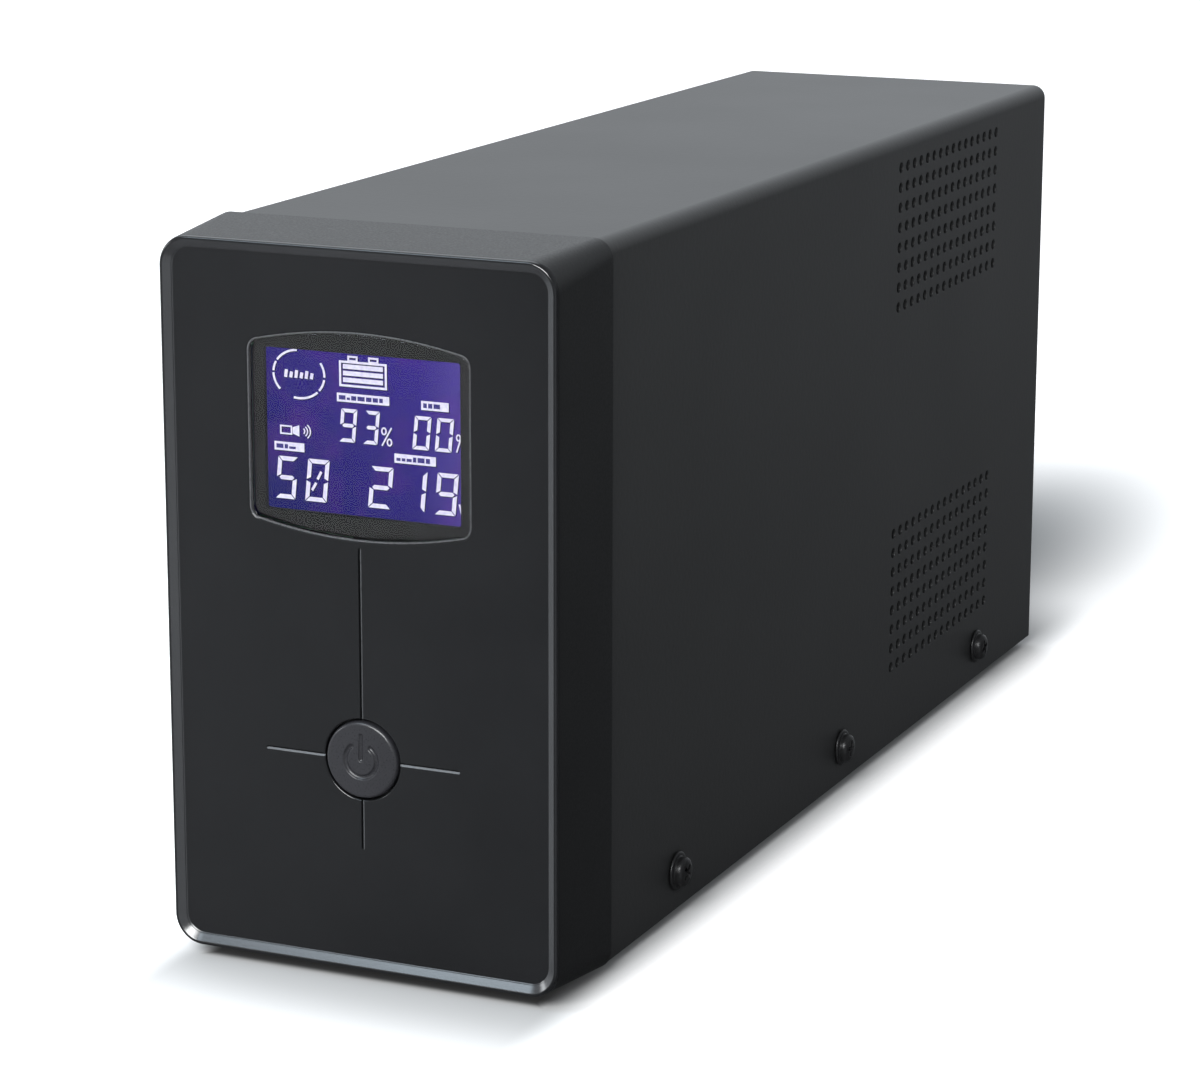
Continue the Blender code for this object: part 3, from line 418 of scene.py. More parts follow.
class Finish(Nodes):
    """A node material: a Principled surface and short ways to drive its inputs."""

    def __init__(self, name, roughness=0.5, metallic=0.0, specular=0.5):
        self.material = bpy.data.materials.new(name)
        self.material.use_nodes = True
        super().__init__(self.material.node_tree)
        self.surface = self.nodes["Principled BSDF"]
        self.set("Roughness", roughness)
        self.set("Metallic", metallic)
        self.set("Specular IOR Level", specular)
        self.coordinates = self.add("TexCoord", {}).outputs["Object"]

    def set(self, name, value):
        self.feed(self.surface.inputs[name], value)

    def wear(self, colour, roughness, normal):
        """Drives the three main inputs and gives the material back."""
        for name, value in (("Base Color", colour), ("Roughness", roughness), ("Normal", normal)):
            self.set(name, value)
        return self.material

    def axes(self):
        return self.add("SeparateXYZ", {"Vector": self.coordinates}).outputs

    def stretched(self, scale):
        return self.add("Mapping", {"Vector": self.coordinates, "Scale": scale}).outputs[0]

    def noise(self, size, detail=2.0, rough=0.5, vector=None):
        """Soft noise with features of about the given size."""
        inputs = {"Vector": vector or self.coordinates, "Scale": 1 / (size * MM)}
        inputs.update({"Detail": detail, "Roughness": rough})
        return self.add("TexNoise", inputs).outputs["Fac"]

    def cells(self, size):
        inputs = {"Vector": self.coordinates, "Scale": 1 / (size * MM)}
        return self.add("TexVoronoi", inputs).outputs

    def spread(self, noise, start=0, end=1):
        """The middle of a noise's range, spread over start to end."""
        return self.remap(noise, 0.3, 0.7, start, end)

    def paint(self, colour, patches, contrast, fine, dust):
        """A colour with soft patches, and with dust: the fine noise's range, amount and gain."""
        low, high, amount, gain = dust
        tone = self.blend(self.spread(patches), scaled(colour, 1 - contrast), scaled(colour, 1 + contrast))
        return self.blend(self.remap(fine, low, high, 0, amount), tone, scaled(colour, gain))

    def bump(self, height, depth, below=None):
        """Raises the surface by up to the given depth, over an earlier bump if there is one."""
        inputs = {"Height": height, "Distance": depth * MM}
        if below:
            inputs["Normal"] = below
        return self.add("Bump", inputs).outputs[0]


def scaled(colour, factor):
    return tuple(min(1.0, c * factor) for c in colour)


def powder_coat(name, colour, roughness=0.42):
    """Baked powder coat on sheet steel: fine orange peel, faint patches and dust."""
    finish = Finish(name)
    speckle = finish.noise(0.55, 2, 0.6)
    tone = finish.paint(colour, finish.noise(45, 3), 0.06, speckle, (0.58, 0.75, 0.35, 1.9))
    shine = finish.spread(finish.noise(60), roughness - 0.01, roughness + 0.02)
    return finish.wear(tone, shine, finish.bump(speckle, 0.008, finish.bump(finish.noise(1.3, 1), 0.02)))


def grained_plastic(name, colour, roughness=0.45, grain=0.45, depth=0.012, specular=0.5):
    """Moulded plastic from a spark-eroded mould, with a fine grain."""
    finish = Finish(name, specular=specular)
    fine = finish.noise(grain, 3, 0.65)
    tone = finish.paint(colour, finish.noise(22, 3), 0.1, fine, (0.5, 0.8, 0.5, 1.6))
    shine = finish.spread(fine, roughness - 0.06, roughness + 0.08)
    return finish.wear(tone, shine, finish.bump(fine, depth))


def satin_panel(name, colour, roughness, specular):
    """The polished front panel: a faint ripple and a very fine haze."""
    finish = Finish(name, specular=specular)
    patches = finish.noise(30, 4, 0.6)
    fine = finish.noise(0.4, 2, 0.6)
    tone = finish.paint(colour, patches, 0.12, fine, (0.45, 0.8, 0.35, 1.7))
    shine = finish.spread(patches, roughness - 0.02, roughness + 0.04)
    return finish.wear(tone, shine, finish.bump(fine, 0.0025, finish.bump(finish.noise(7, 1), 0.01)))


def worn_metal(name, colour, roughness, scratch=(40, 1, 1), size=2, metallic=1.0):
    """Metal with drawn scratches along one axis and a slightly uneven shine."""
    finish = Finish(name, metallic=metallic)
    lines = finish.noise(size, 3, 0.6, finish.stretched(scratch))
    tone = finish.blend(finish.spread(finish.noise(9, 3)), scaled(colour, 0.8), colour)
    shine = finish.spread(lines, roughness - 0.08, roughness + 0.1)
    return finish.wear(tone, shine, finish.bump(lines, 0.004))


def galvanised(name):
    """Zinc-plated sheet with its spangle."""
    colour = (0.5, 0.52, 0.53)
    finish = Finish(name, metallic=0.9)
    grey = finish.add("RGBToBW", {"Color": finish.cells(6)["Color"]}).outputs[0]
    tone = finish.blend(grey, scaled(colour, 0.72), colour)
    return finish.wear(tone, finish.remap(grey, 0, 1, 0.28, 0.5), finish.bump(finish.noise(0.8), 0.006))


def circuit_board(name):
    """Green solder mask over copper tracks, with tinned pads."""
    finish = Finish(name)
    finish.set("Coat Weight", 0.3)
    inputs = {"Vector": finish.coordinates, "Scale": 1 / (5 * MM), "Mortar Size": 0.06}
    inputs.update({"Brick Width": 0.9, "Row Height": 0.32})
    inputs.update({"Color1": (0, 0, 0), "Color2": (0, 0, 0), "Mortar": (1, 1, 1)})
    tracks = finish.add("TexBrick", inputs).outputs["Color"]
    amount = finish.add("RGBToBW", {"Color": tracks}).outputs[0]
    tone = finish.blend(amount, (0.012, 0.09, 0.035), (0.03, 0.19, 0.07))
    pads = finish.remap(finish.cells(3.1)["Distance"], 0.16, 0.2, 1, 0)
    return finish.wear(finish.blend(pads, tone, (0.55, 0.56, 0.55)), 0.32, finish.bump(amount, 0.03))


def banded(name, first, second, size, direction, roughness=0.45, metallic=0.0):
    """Parallel turns of wire or ridges, across one axis."""
    finish = Finish(name, metallic=metallic)
    inputs = {"Vector": finish.coordinates, "Scale": 1 / (size * MM), "Distortion": 0.2, "Detail": 1.0}
    settings = {"wave_type": "BANDS", "bands_direction": direction}
    wave = finish.add("TexWave", inputs, **settings).outputs["Fac"]
    worn = finish.remap(finish.noise(6, 3), 0.4, 0.8, 0, 0.4)
    tone = finish.blend(worn, finish.blend(wave, first, second), scaled(first, 0.6))
    return finish.wear(tone, roughness, finish.bump(wave, 0.05))


def rubber(name):
    finish = Finish(name, specular=0.3)
    dust = finish.noise(2.5, 4, 0.7)
    amount = finish.remap(dust, 0.45, 0.7, 0, 1)
    tone = finish.blend(amount, (0.012, 0.012, 0.012), (0.035, 0.034, 0.032))
    return finish.wear(tone, finish.spread(dust, 0.7, 0.9), finish.bump(finish.noise(0.35, 3, 0.7), 0.02))


def lens_glass(name):
    finish = Finish(name, roughness=0.03)
    finish.set("Base Color", (0.98, 0.985, 0.99))
    finish.set("Transmission Weight", 1.0)
    finish.set("IOR", 1.2)
    return finish.material


def display_glow(name):
    """The lit backdrop of the display: brighter to the upper right, with faint patches."""
    finish = Finish(name, roughness=0.3, specular=0.0)
    axes = finish.axes()
    half_x, half_z = LCD_HALF[0] * MM, LCD_HALF[1] * MM
    across = finish.remap(axes["X"], -half_x, half_x, 0, 1)
    upward = finish.remap(axes["Z"], WINDOW_Z * MM - half_z, WINDOW_Z * MM + half_z, 0, 1)
    level = finish.math("ADD", finish.math("MULTIPLY", across, 0.55), finish.math("MULTIPLY", upward, 0.45))
    tone = finish.blend(level, (0.004, 0.005, 0.110), (0.034, 0.014, 0.255))
    edge = finish.remap(axes["X"], 0.55 * half_x, half_x, 0, 1)
    tone = finish.blend(finish.math("MULTIPLY", edge, 0.35), tone, (0.150, 0.110, 0.400))
    violet = finish.remap(finish.noise(9, 2), 0.5, 0.72, 0, 0.35)
    tone = finish.blend(violet, tone, (0.10, 0.018, 0.26))
    mesh = finish.spread(finish.noise(0.7, 2), 0.86, 1.12)
    finish.set("Base Color", (0.002, 0.002, 0.006))
    finish.set("Emission Color", finish.vector("MULTIPLY", tone, mesh))
    finish.set("Emission Strength", 1.0)
    return finish.material


def segment_glow(name, bright, dim):
    finish = Finish(name, roughness=0.4, specular=0.0)
    finish.set("Base Color", scaled(dim, 0.1))
    finish.set("Emission Color", finish.blend(finish.spread(finish.noise(0.8, 2)), dim, bright))
    finish.set("Emission Strength", 1.0)
    return finish.material


COVER_COLOUR = (0.0132, 0.0135, 0.0140)

PAINT = powder_coat("powder_coat_charcoal", COVER_COLOUR)
# A light grey plastic for the grooves' sloping walls and the bead round the window, where it is a painted
# highlight.
HIGHLIGHT_GREY_FINISH = grained_plastic("painted_highlight_grey", (0.055, 0.056, 0.059), 0.28, 0.4, 0.002)
REAR_PAINT = powder_coat("powder_coat_rear", COVER_COLOUR, 0.45)
BEZEL_SIDE = grained_plastic("bezel_grained_plastic", (0.0050, 0.0052, 0.0056), 0.4, specular=0.42)
BEZEL_FACE = satin_panel("bezel_satin_panel", (0.0065, 0.0067, 0.0073), 0.14, 0.5)
# The rim's inner bevel: the panel's satin with a stronger reflection, and a colour three times lighter as a
# painted highlight.
BEVEL_GLOSS_HIGHLIGHT_FINISH = satin_panel("bezel_glossy_bevel_painted_highlight", (0.020, 0.0205, 0.022), 0.2, 0.9)
MASK_FINISH = grained_plastic("mask_black", (0.0045, 0.0045, 0.005), 0.6, 0.3, 0.004, 0.1)
BUTTON_FINISH = grained_plastic("button_satin_plastic", (0.016, 0.016, 0.0185), 0.3, 0.35, 0.004)
SOCKET_FINISH = grained_plastic("socket_black_plastic", (0.010, 0.010, 0.011), 0.38, 0.4, 0.008)
DRAWER_FINISH = grained_plastic("drawer_black_plastic", (0.014, 0.014, 0.015), 0.33, 0.4, 0.006)
LENS_FINISH = lens_glass("lens_clear")
LCD_FINISH = display_glow("lcd_backdrop_glow")
SEGMENT_FINISH = segment_glow("lcd_segment_glow", (0.82, 0.80, 0.90), (0.62, 0.60, 0.78))
CAPTION_MARK = segment_glow("lcd_caption_mark", (0.06, 0.05, 0.24), (0.035, 0.028, 0.17))
# A dim navy glow for the painted shadows that the lit figures throw on the display's backdrop.
SEGMENT_SHADOW_FINISH = segment_glow("lcd_segment_shadow", (0.012, 0.008, 0.07), (0.008, 0.006, 0.05))
SCREW_FINISH = worn_metal("screw_black_oxide", (0.020, 0.020, 0.021), 0.34, (1, 1, 1), 0.8, 0.5)
RUBBER_FINISH = rubber("foot_rubber")
BRASS_FINISH = worn_metal("contact_plated_brass", (0.72, 0.68, 0.60), 0.26, (1, 30, 1))
GOLD_FINISH = worn_metal("contact_gold", (0.85, 0.62, 0.26), 0.25, (1, 30, 1))
STEEL_FINISH = galvanised("galvanised_sheet")
SHELL_FINISH = worn_metal("usb_shell_steel", (0.62, 0.62, 0.61), 0.25, (1, 30, 1))
FUSE_METAL = worn_metal("fuse_cap_nickel", (0.70, 0.70, 0.68), 0.22, (1, 20, 20))
BOARD_FINISH = circuit_board("board_solder_mask")


# --- Cover ---


def cover_section(thin):
    """The bent sheet's outline, with its thickness drawn in by `thin` at each surface.

    Points go up the outside from the lower right, over the top and back along the inside.
    """
    outer, inner = [], []
    for line, depth in ((outer, thin), (inner, SHEET - thin)):
        line.append((CASE_X - depth, CASE_BOTTOM + SHEET_EDGE))
        bend = quarter(8, BEND - depth)
        line += [(CASE_X - depth - inset, CASE_TOP - depth - drop) for drop, inset in bend]
        line += [(-x, z) for x, z in reversed(line)]
    foot = [(CASE_X - SHEET + SHEET_EDGE, CASE_BOTTOM + thin), (CASE_X - SHEET_EDGE, CASE_BOTTOM + thin)]
    return outer + [(-x, z) for x, z in reversed(foot)] + inner[::-1] + foot


def side_holes():
    """(y, z, radius) of the vents and of the screw holes in one side."""
    holes = []
    for height in VENT_HEIGHTS:
        for row in range(VENT_ROWS):
            z = CASE_BOTTOM + height + (row - (VENT_ROWS - 1) / 2) * VENT_PITCH
            for column in range(VENT_COLUMNS):
                y = Y_SEAM + VENT_FROM_SEAM + (column - (VENT_COLUMNS - 1) / 2) * VENT_PITCH
                holes.append((y, z, VENT_RADIUS))
    return holes + [(*middle(f"cover_screw_{number}", "yz")[0], SCREW_HOLE) for number in (1, 2, 3)]


def make_cover():
    softened = ((SHEET_EDGE, 0), (SHEET_EDGE * 0.3, SHEET_EDGE * 0.3), (0, SHEET_EDGE))
    stations = [(cover_section(thin), Y_SEAM + along) for thin, along in softened]
    stations += [(cover_section(thin), Y_REAR - along) for thin, along in reversed(softened)]
    verts, faces = [], []
    for outline, along in stations:
        verts += [(x, along, z) for x, z in outline]
    # each line of the outline has 20 points, and each foot between them 2
    line = 20
    count = 2 * line + 4
    flats = {0, line - 2, line + 2, 2 * line}
    for k in range(5):
        bridge(faces, k * count, (k + 1) * count, count, flats if k == 2 else ())
    for first in (0, 5 * count):
        for i in range(line - 1):
            j = 2 * line + 1 - i
            faces.append((first + i, first + i + 1, first + j - 1, first + j))
        for foot in ((0, *range(2 * line + 1, count)), range(line - 1, line + 3)):
            faces.append(tuple(first + i for i in foot))
    shapes = [(verts, faces)]

    # the flat sides, with their holes and the rounded rims of those
    low = (Y_SEAM + SHEET_EDGE, CASE_BOTTOM + SHEET_EDGE)
    high = (Y_REAR - SHEET_EDGE, CASE_TOP - BEND)
    sides = 20
    holes = side_holes()
    wide = [(y, z, radius + VENT_LIP) for y, z, radius in holes]
    rim = ((VENT_LIP, 0), (0.3 * VENT_LIP, 0.3 * VENT_LIP), (0, VENT_LIP), (0, SHEET))
    rim_faces = []
    for k in range(len(rim) - 1):
        bridge(rim_faces, k * sides, (k + 1) * sides, sides)
    for side in (1, -1):
        for depth, circles in ((0, wide), (SHEET, holes)):
            flat, triangles = plate(low, high, circles, sides)
            shapes.append(([(side * (CASE_X - depth), p.x, p.y) for p in flat], triangles))
        for y, z, radius in holes:
            rim_verts = []
            for grow, depth in rim:
                x = side * (CASE_X - depth)
                rim_verts += [(x, u, v) for u, v in circle(radius + grow, sides, (y, z))]
            shapes.append((rim_verts, rim_faces))
    cover = new_object("cover", joined(shapes), [PAINT], 50, weld=2e-6)
    set_cover_normals(cover.data)
    settle(cover, "case", "steel_paint", "top_cover")


def set_cover_normals(mesh):
    """Flat faces are shaded flat, and the two bends round about their own centre lines."""
    normals = [None] * len(mesh.loops)
    for face in mesh.polygons:
        bent = abs(face.normal.y) < 0.01 and 0.02 < abs(face.normal.x) < 0.9998
        bent = bent and face.center.z / MM > CASE_TOP - BEND
        for loop in face.loop_indices:
            normals[loop] = face.normal.copy()
            if bent:
                point = mesh.vertices[mesh.loops[loop].vertex_index].co / MM
                out = Vector((point.x - math.copysign(CASE_X - BEND, point.x), 0, point.z - CASE_TOP + BEND))
                normals[loop] = out.normalized() * (1 if out.dot(face.normal) > 0 else -1)
    mesh.normals_split_custom_set(normals)


# --- Moulded front ---


def bezel_front(inset):
    half_width, half_height = BEZEL_FRONT_HALF
    radius = BEZEL_FRONT_RADIUS - inset
    return soft_rectangle(half_width - inset, half_height - inset, radius, (0, CASE_MIDDLE), CORNER_STEPS)


def bezel_back(inset):
    half_width, half_height = bezel_high.x, (bezel_high.z - bezel_low.z) / 2
    radius = BEZEL_BACK_RADIUS - inset
    return soft_rectangle(half_width - inset, half_height - inset, radius, (0, CASE_MIDDLE), CORNER_STEPS)


def make_bezel():
    back_y = Y_SEAM - GAP
    edge = 0.5
    stations = [
        (bezel_front(BEZEL_WALL), Y_PANEL + PANEL_THICKNESS), (bezel_back(BEZEL_WALL), back_y),
        (bezel_back(edge), back_y), (bezel_back(edge * 0.3), back_y - edge * 0.3),
        (bezel_back(0), back_y - edge),
    ]
    # over the rim and down its inner bevel to the panel: how far in and how far back
    rim = ((0, 1.3), (0.02, 0.95), (0.09, 0.6), (0.2, 0.32), (0.36, 0.12), (0.54, 0.02), (0.68, 0))
    rim += ((0.82, 0.03), (0.95, 0.12), (2.15, 1.02), (2.22, 1.2), (2.36, 1.3))
    stations += [(bezel_front(inset), Y_FRONT + along) for inset, along in rim]
    bezel = new_object("bezel", loft("Y", stations), [BEZEL_SIDE, BEZEL_FACE, HIGHLIGHT_GREY_FINISH, BEVEL_GLOSS_HIGHLIGHT_FINISH], 30)

    before = Y_PANEL - 1
    behind = Y_PANEL + PANEL_THICKNESS + 1
    window_lip, bore_lip = 0.3, 0.35
    window = [(window_outline(-window_lip), before)]
    window += lip(lambda inset: window_outline(-inset), Y_PANEL, window_lip)
    window.append((window_outline(0), behind))
    bore = [(0, before), (BUTTON_BORE + bore_lip, before)]
    bore += lip(lambda inset: BUTTON_BORE + inset, Y_PANEL, bore_lip, 5)
    bore += [(BUTTON_BORE, behind), (0, behind)]
    carve(bezel, joined([loft("Y", window), turned("Y", (0, BUTTON_Z), bore, 96)]), 30)

    near = BUTTON_BORE - 0.3
    runs = [
        ((0, BUTTON_Z + near), (0, GROOVE_TOP), (1, 0)), ((0, BUTTON_Z - near), (0, GROOVE_BOTTOM), (1, 0)),
        ((near, BUTTON_Z), (GROOVE_REACH, BUTTON_Z), (0, -1)),
        ((-near, BUTTON_Z), (-GROOVE_REACH, BUTTON_Z), (0, -1)),
    ]
    carve(bezel, joined([groove(*run) for run in runs]), 30)
    dress_bezel(bezel.data)
    weighted(bezel)
    settle(bezel, "case", "front_plastic", "front_bezel")

    radius, bore_radius, bore_depth = 3.0, 1.4, 9.0
    root, top = Y_PANEL + PANEL_THICKNESS, Y_SEAM + 1
    profile = [(0, root - 0.2), (radius + 0.6, root - 0.2), (radius, root + 0.9), (radius, top)]
    profile += [(bore_radius, top), (bore_radius, top - bore_depth), (0, top - bore_depth)]
    places = [(x, CASE_MIDDLE + z) for x in (-33.0, 33.0) for z in (-56.0, 56.0)]
    posts = [turned("Y", centre, profile, 32) for centre in places]
    piece("bezel_bosses", joined(posts), BEZEL_SIDE, "front_plastic")


def dress_bezel(mesh):
    """The panel is satin and the rest grained. The rim's inner bevel takes a glossier, lighter satin and the
    grooves' sloping walls a light grey, both lighter as painted highlights.
    """
    for face in mesh.polygons:
        x, y, z = face.center / MM
        below_rim = max(abs(x) - BEZEL_FRONT_HALF[0], abs(z - CASE_MIDDLE) - BEZEL_FRONT_HALF[1])
        front = below_rim < -0.5 and y < Y_PANEL + PANEL_THICKNESS - 0.1
        face.material_index = 1 if front or y < Y_FRONT + 0.65 else 0
        inwards = face.normal.x * x + face.normal.z * (z - CASE_MIDDLE) < 0
        # the rim's inner bevel, whose lighter colour is a painted highlight
        if inwards and Y_FRONT + 0.02 < y < Y_PANEL - 0.02 and below_rim > -3.6:
            face.material_index = 3
        in_groove = Y_PANEL + 0.05 < y < Y_PANEL + GROOVE_DEPTH and abs(x) < GROOVE_REACH + 1
        in_groove = in_groove and GROOVE_BOTTOM - 1 < z < GROOVE_TOP + 0.5
        in_groove = in_groove and math.hypot(x, z - BUTTON_Z) > BUTTON_BORE + 0.2
        # the grooves' sloping walls, light grey as a painted highlight
        if in_groove and -0.95 < face.normal.y < -0.5:
            face.material_index = 2


def groove(start, end, bright):
    """A shallow channel in the panel from start to end, each (x, z).

    Its wall on the `bright` side slopes gently, down to a narrow slot at the other wall.
    """
    a, b = Vector(start), Vector(end)
    along = (b - a).normalized()
    across = Vector(bright)
    outer = GROOVE_HALF + 0.06
    section = [(outer, -0.6), (outer, 0), (GROOVE_HALF, 0.02), (-0.08, GROOVE_DEPTH), (-0.10, SLOT_DEPTH)]
    section += [(-0.30, SLOT_DEPTH), (-0.34, 0.1), (-0.40, 0), (-0.40, -0.6)]
    verts = []
    for where, scale in ((a, 1), (b - along * 0.25, 1), (b, 0.5)):
        for u, v in section:
            p = where + across * u * scale
            verts.append((p.x, Y_PANEL + v, p.y))
    count = len(section)
    faces = [tuple(range(count)), tuple(range(2 * count, 3 * count))]
    for k in range(2):
        bridge(faces, k * count, (k + 1) * count, count)
    return verts, faces


def make_window_bead():
    """A thin bead in the gap between the window and the panel, light grey as a painted highlight round the
    window's edge.
    """
    section = ((-0.06, 0.12), (-0.05, 0.02), (0.0, -0.05), (0.09, -0.08), (0.18, -0.05), (0.23, 0.02))
    section += ((0.25, 0.4), (0.0, 0.4))
    stations = [(window_outline(inset), Y_PANEL + along) for inset, along in section]
    piece("window_bead", loft("Y", stations, ring=True), HIGHLIGHT_GREY_FINISH, "front_plastic", angle=60)


# --- Display ---


def make_lens():
    back_edge = 0.1
    stations = lip(lambda inset: window_outline(GAP + inset), lens_low.y, 0.45, 5)
    stations.append((window_outline(GAP), lens_high.y - back_edge))
    stations.append((window_outline(GAP + back_edge), lens_high.y))
    piece("lens", loft("Y", stations), LENS_FINISH, "lens", "display_lens", angle=40, flat=True)


def make_mask():
    """A dark frame: each point of its bowed outline is drawn in to the side of the opening."""
    outer = window_outline(0.35)
    opening = [nearest_on_rectangle(x, z - WINDOW_Z, LCD_HALF, 0.5) for x, z in outer]
    opening = [(x, z + WINDOW_Z) for x, z in opening]
    chamfer = [(x * 1.008, WINDOW_Z + (z - WINDOW_Z) * 1.010) for x, z in opening]
    stations = [(outer, mask_low.y), (outer, mask_high.y), (opening, mask_high.y)]
    stations += [(opening, mask_low.y + 0.15), (chamfer, mask_low.y)]
    shape = loft("Y", stations, ring=True)
    piece("mask", shape, MASK_FINISH, "black_plastic", "display_mask", angle=30, flat=True)


def nearest_on_rectangle(x, z, half, radius):
    """The point of a rounded rectangle on the line from its centre to (x, z)."""
    scale = min(half[0] / max(abs(x), 1e-9), half[1] / max(abs(z), 1e-9))
    u, v = x * scale, z * scale
    inner_x, inner_z = half[0] - radius, half[1] - radius
    if abs(u) > inner_x and abs(v) > inner_z:
        corner = Vector((math.copysign(inner_x, u), math.copysign(inner_z, v)))
        out = (Vector((u, v)) - corner).normalized() * radius
        return corner.x + out.x, corner.y + out.y
    return u, v


def lcd_plate(polygons, front, thickness):
    """Flat figures standing on the display's face, each drawn about the display's centre."""
    shapes = []
    for polygon in polygons:
        outline = [(x, WINDOW_Z + z) for x, z in polygon]
        shapes.append(loft("Y", [(outline, front), (outline, front + thickness)]))
    return joined(shapes)


def bar(start, end, width):
    """A straight stroke between two points."""
    a, b = Vector(start), Vector(end)
    side = (b - a).normalized() * width / 2
    side = Vector((-side.y, side.x))
    return [tuple(p) for p in (a - side, b - side, b + side, a + side)]


def box_stroke(low, high, width):
    """A rectangular frame drawn as four strokes."""
    (x0, z0), (x1, z1) = low, high
    return [
        [(x0, z0), (x1, z0), (x1, z0 + width), (x0, z0 + width)],
        [(x0, z1 - width), (x1, z1 - width), (x1, z1), (x0, z1)],
        [(x0, z0 + width), (x0 + width, z0 + width), (x0 + width, z1 - width), (x0, z1 - width)],
        [(x1 - width, z0 + width), (x1, z0 + width), (x1, z1 - width), (x1 - width, z1 - width)],
    ]


def arc_stroke(centre, radii, start, end, width, steps=18):
    """A stroke along an ellipse from one angle to another, in degrees."""
    inner, outer = [], []
    for step in range(steps + 1):
        angle = math.radians(start + (end - start) * step / steps)
        c, s = math.cos(angle), math.sin(angle)
        inner.append((centre[0] + (radii[0] - width / 2) * c, centre[1] + (radii[1] - width / 2) * s))
        outer.append((centre[0] + (radii[0] + width / 2) * c, centre[1] + (radii[1] + width / 2) * s))
    return [[inner[i], inner[i + 1], outer[i + 1], outer[i]] for i in range(steps)]


SEGMENTS = {"0": "abcdef", "1": "bc", "2": "abged", "3": "abgcd", "5": "afgcd", "9": "abcdfg"}
SLANT = 0.1


def digit(character, low, high, stroke):
    """A seven-segment digit between two corners, leaning to the right."""
    (x0, z0), (x1, z1) = low, high
    top = z1 - z0
    far = (x1 - x0) - SLANT * top
    gap, t, half = 0.16 * stroke, stroke, top / 2
    strokes = {
        "a": [(gap, top), (far - gap, top), (far - t - gap, top - t), (t + gap, top - t)],
        "b": [(far, top - gap), (far - t, top - t - gap), (far - t, half + t / 2 + gap), (far, half + gap)],
        "g": [(t / 2 + gap, half), (t + gap, half + t / 2), (far - t - gap, half + t / 2)],
    }
    strokes["g"] += [(far - x, top - z) for x, z in strokes["g"]]
    strokes["d"] = [(x, top - z) for x, z in reversed(strokes["a"])]
    strokes["c"] = [(x, top - z) for x, z in reversed(strokes["b"])]
    strokes["f"] = [(far - x, z) for x, z in strokes["b"]]
    strokes["e"] = [(far - x, z) for x, z in strokes["c"]]
    return [[(x0 + x + SLANT * z, z0 + z) for x, z in strokes[key]] for key in SEGMENTS[character]]


def percent(low, high, stroke):
    (x0, z0), (x1, z1) = low, high
    radius = 0.2 * (x1 - x0)
    figures = [bar((x0 + 0.1, z0), (x1 - 0.1, z1), stroke)]
    figures += arc_stroke((x0 + radius + 0.1, z1 - radius - 0.3), (radius, 1.4 * radius), 0, 360, stroke, 12)
    figures += arc_stroke((x1 - radius - 0.1, z0 + radius + 0.3), (radius, 1.4 * radius), 0, 360, stroke, 12)
    return figures


def label(low, high, seed):
    """A lit caption bar and the row of dark blocks that stands on it in place of words."""
    (x0, z0), (x1, z1) = low, high
    plate_outline = [(x0, z0), (x1, z0), (x1, z1), (x0, z1)]
    draw = random.Random(seed)
    blocks = []
    x = x0 + 0.45
    while True:
        wide = draw.uniform(0.6, 1.5)
        if x + wide > x1 - 0.4:
            break
        drop = draw.choice((0.0, 0.0, 0.35))
        low_z, high_z = z0 + 0.42, z1 - 0.42 - drop
        blocks.append([(x, low_z), (x + wide, low_z), (x + wide, high_z), (x, high_z)])
        x += wide + 0.28
    return plate_outline, blocks


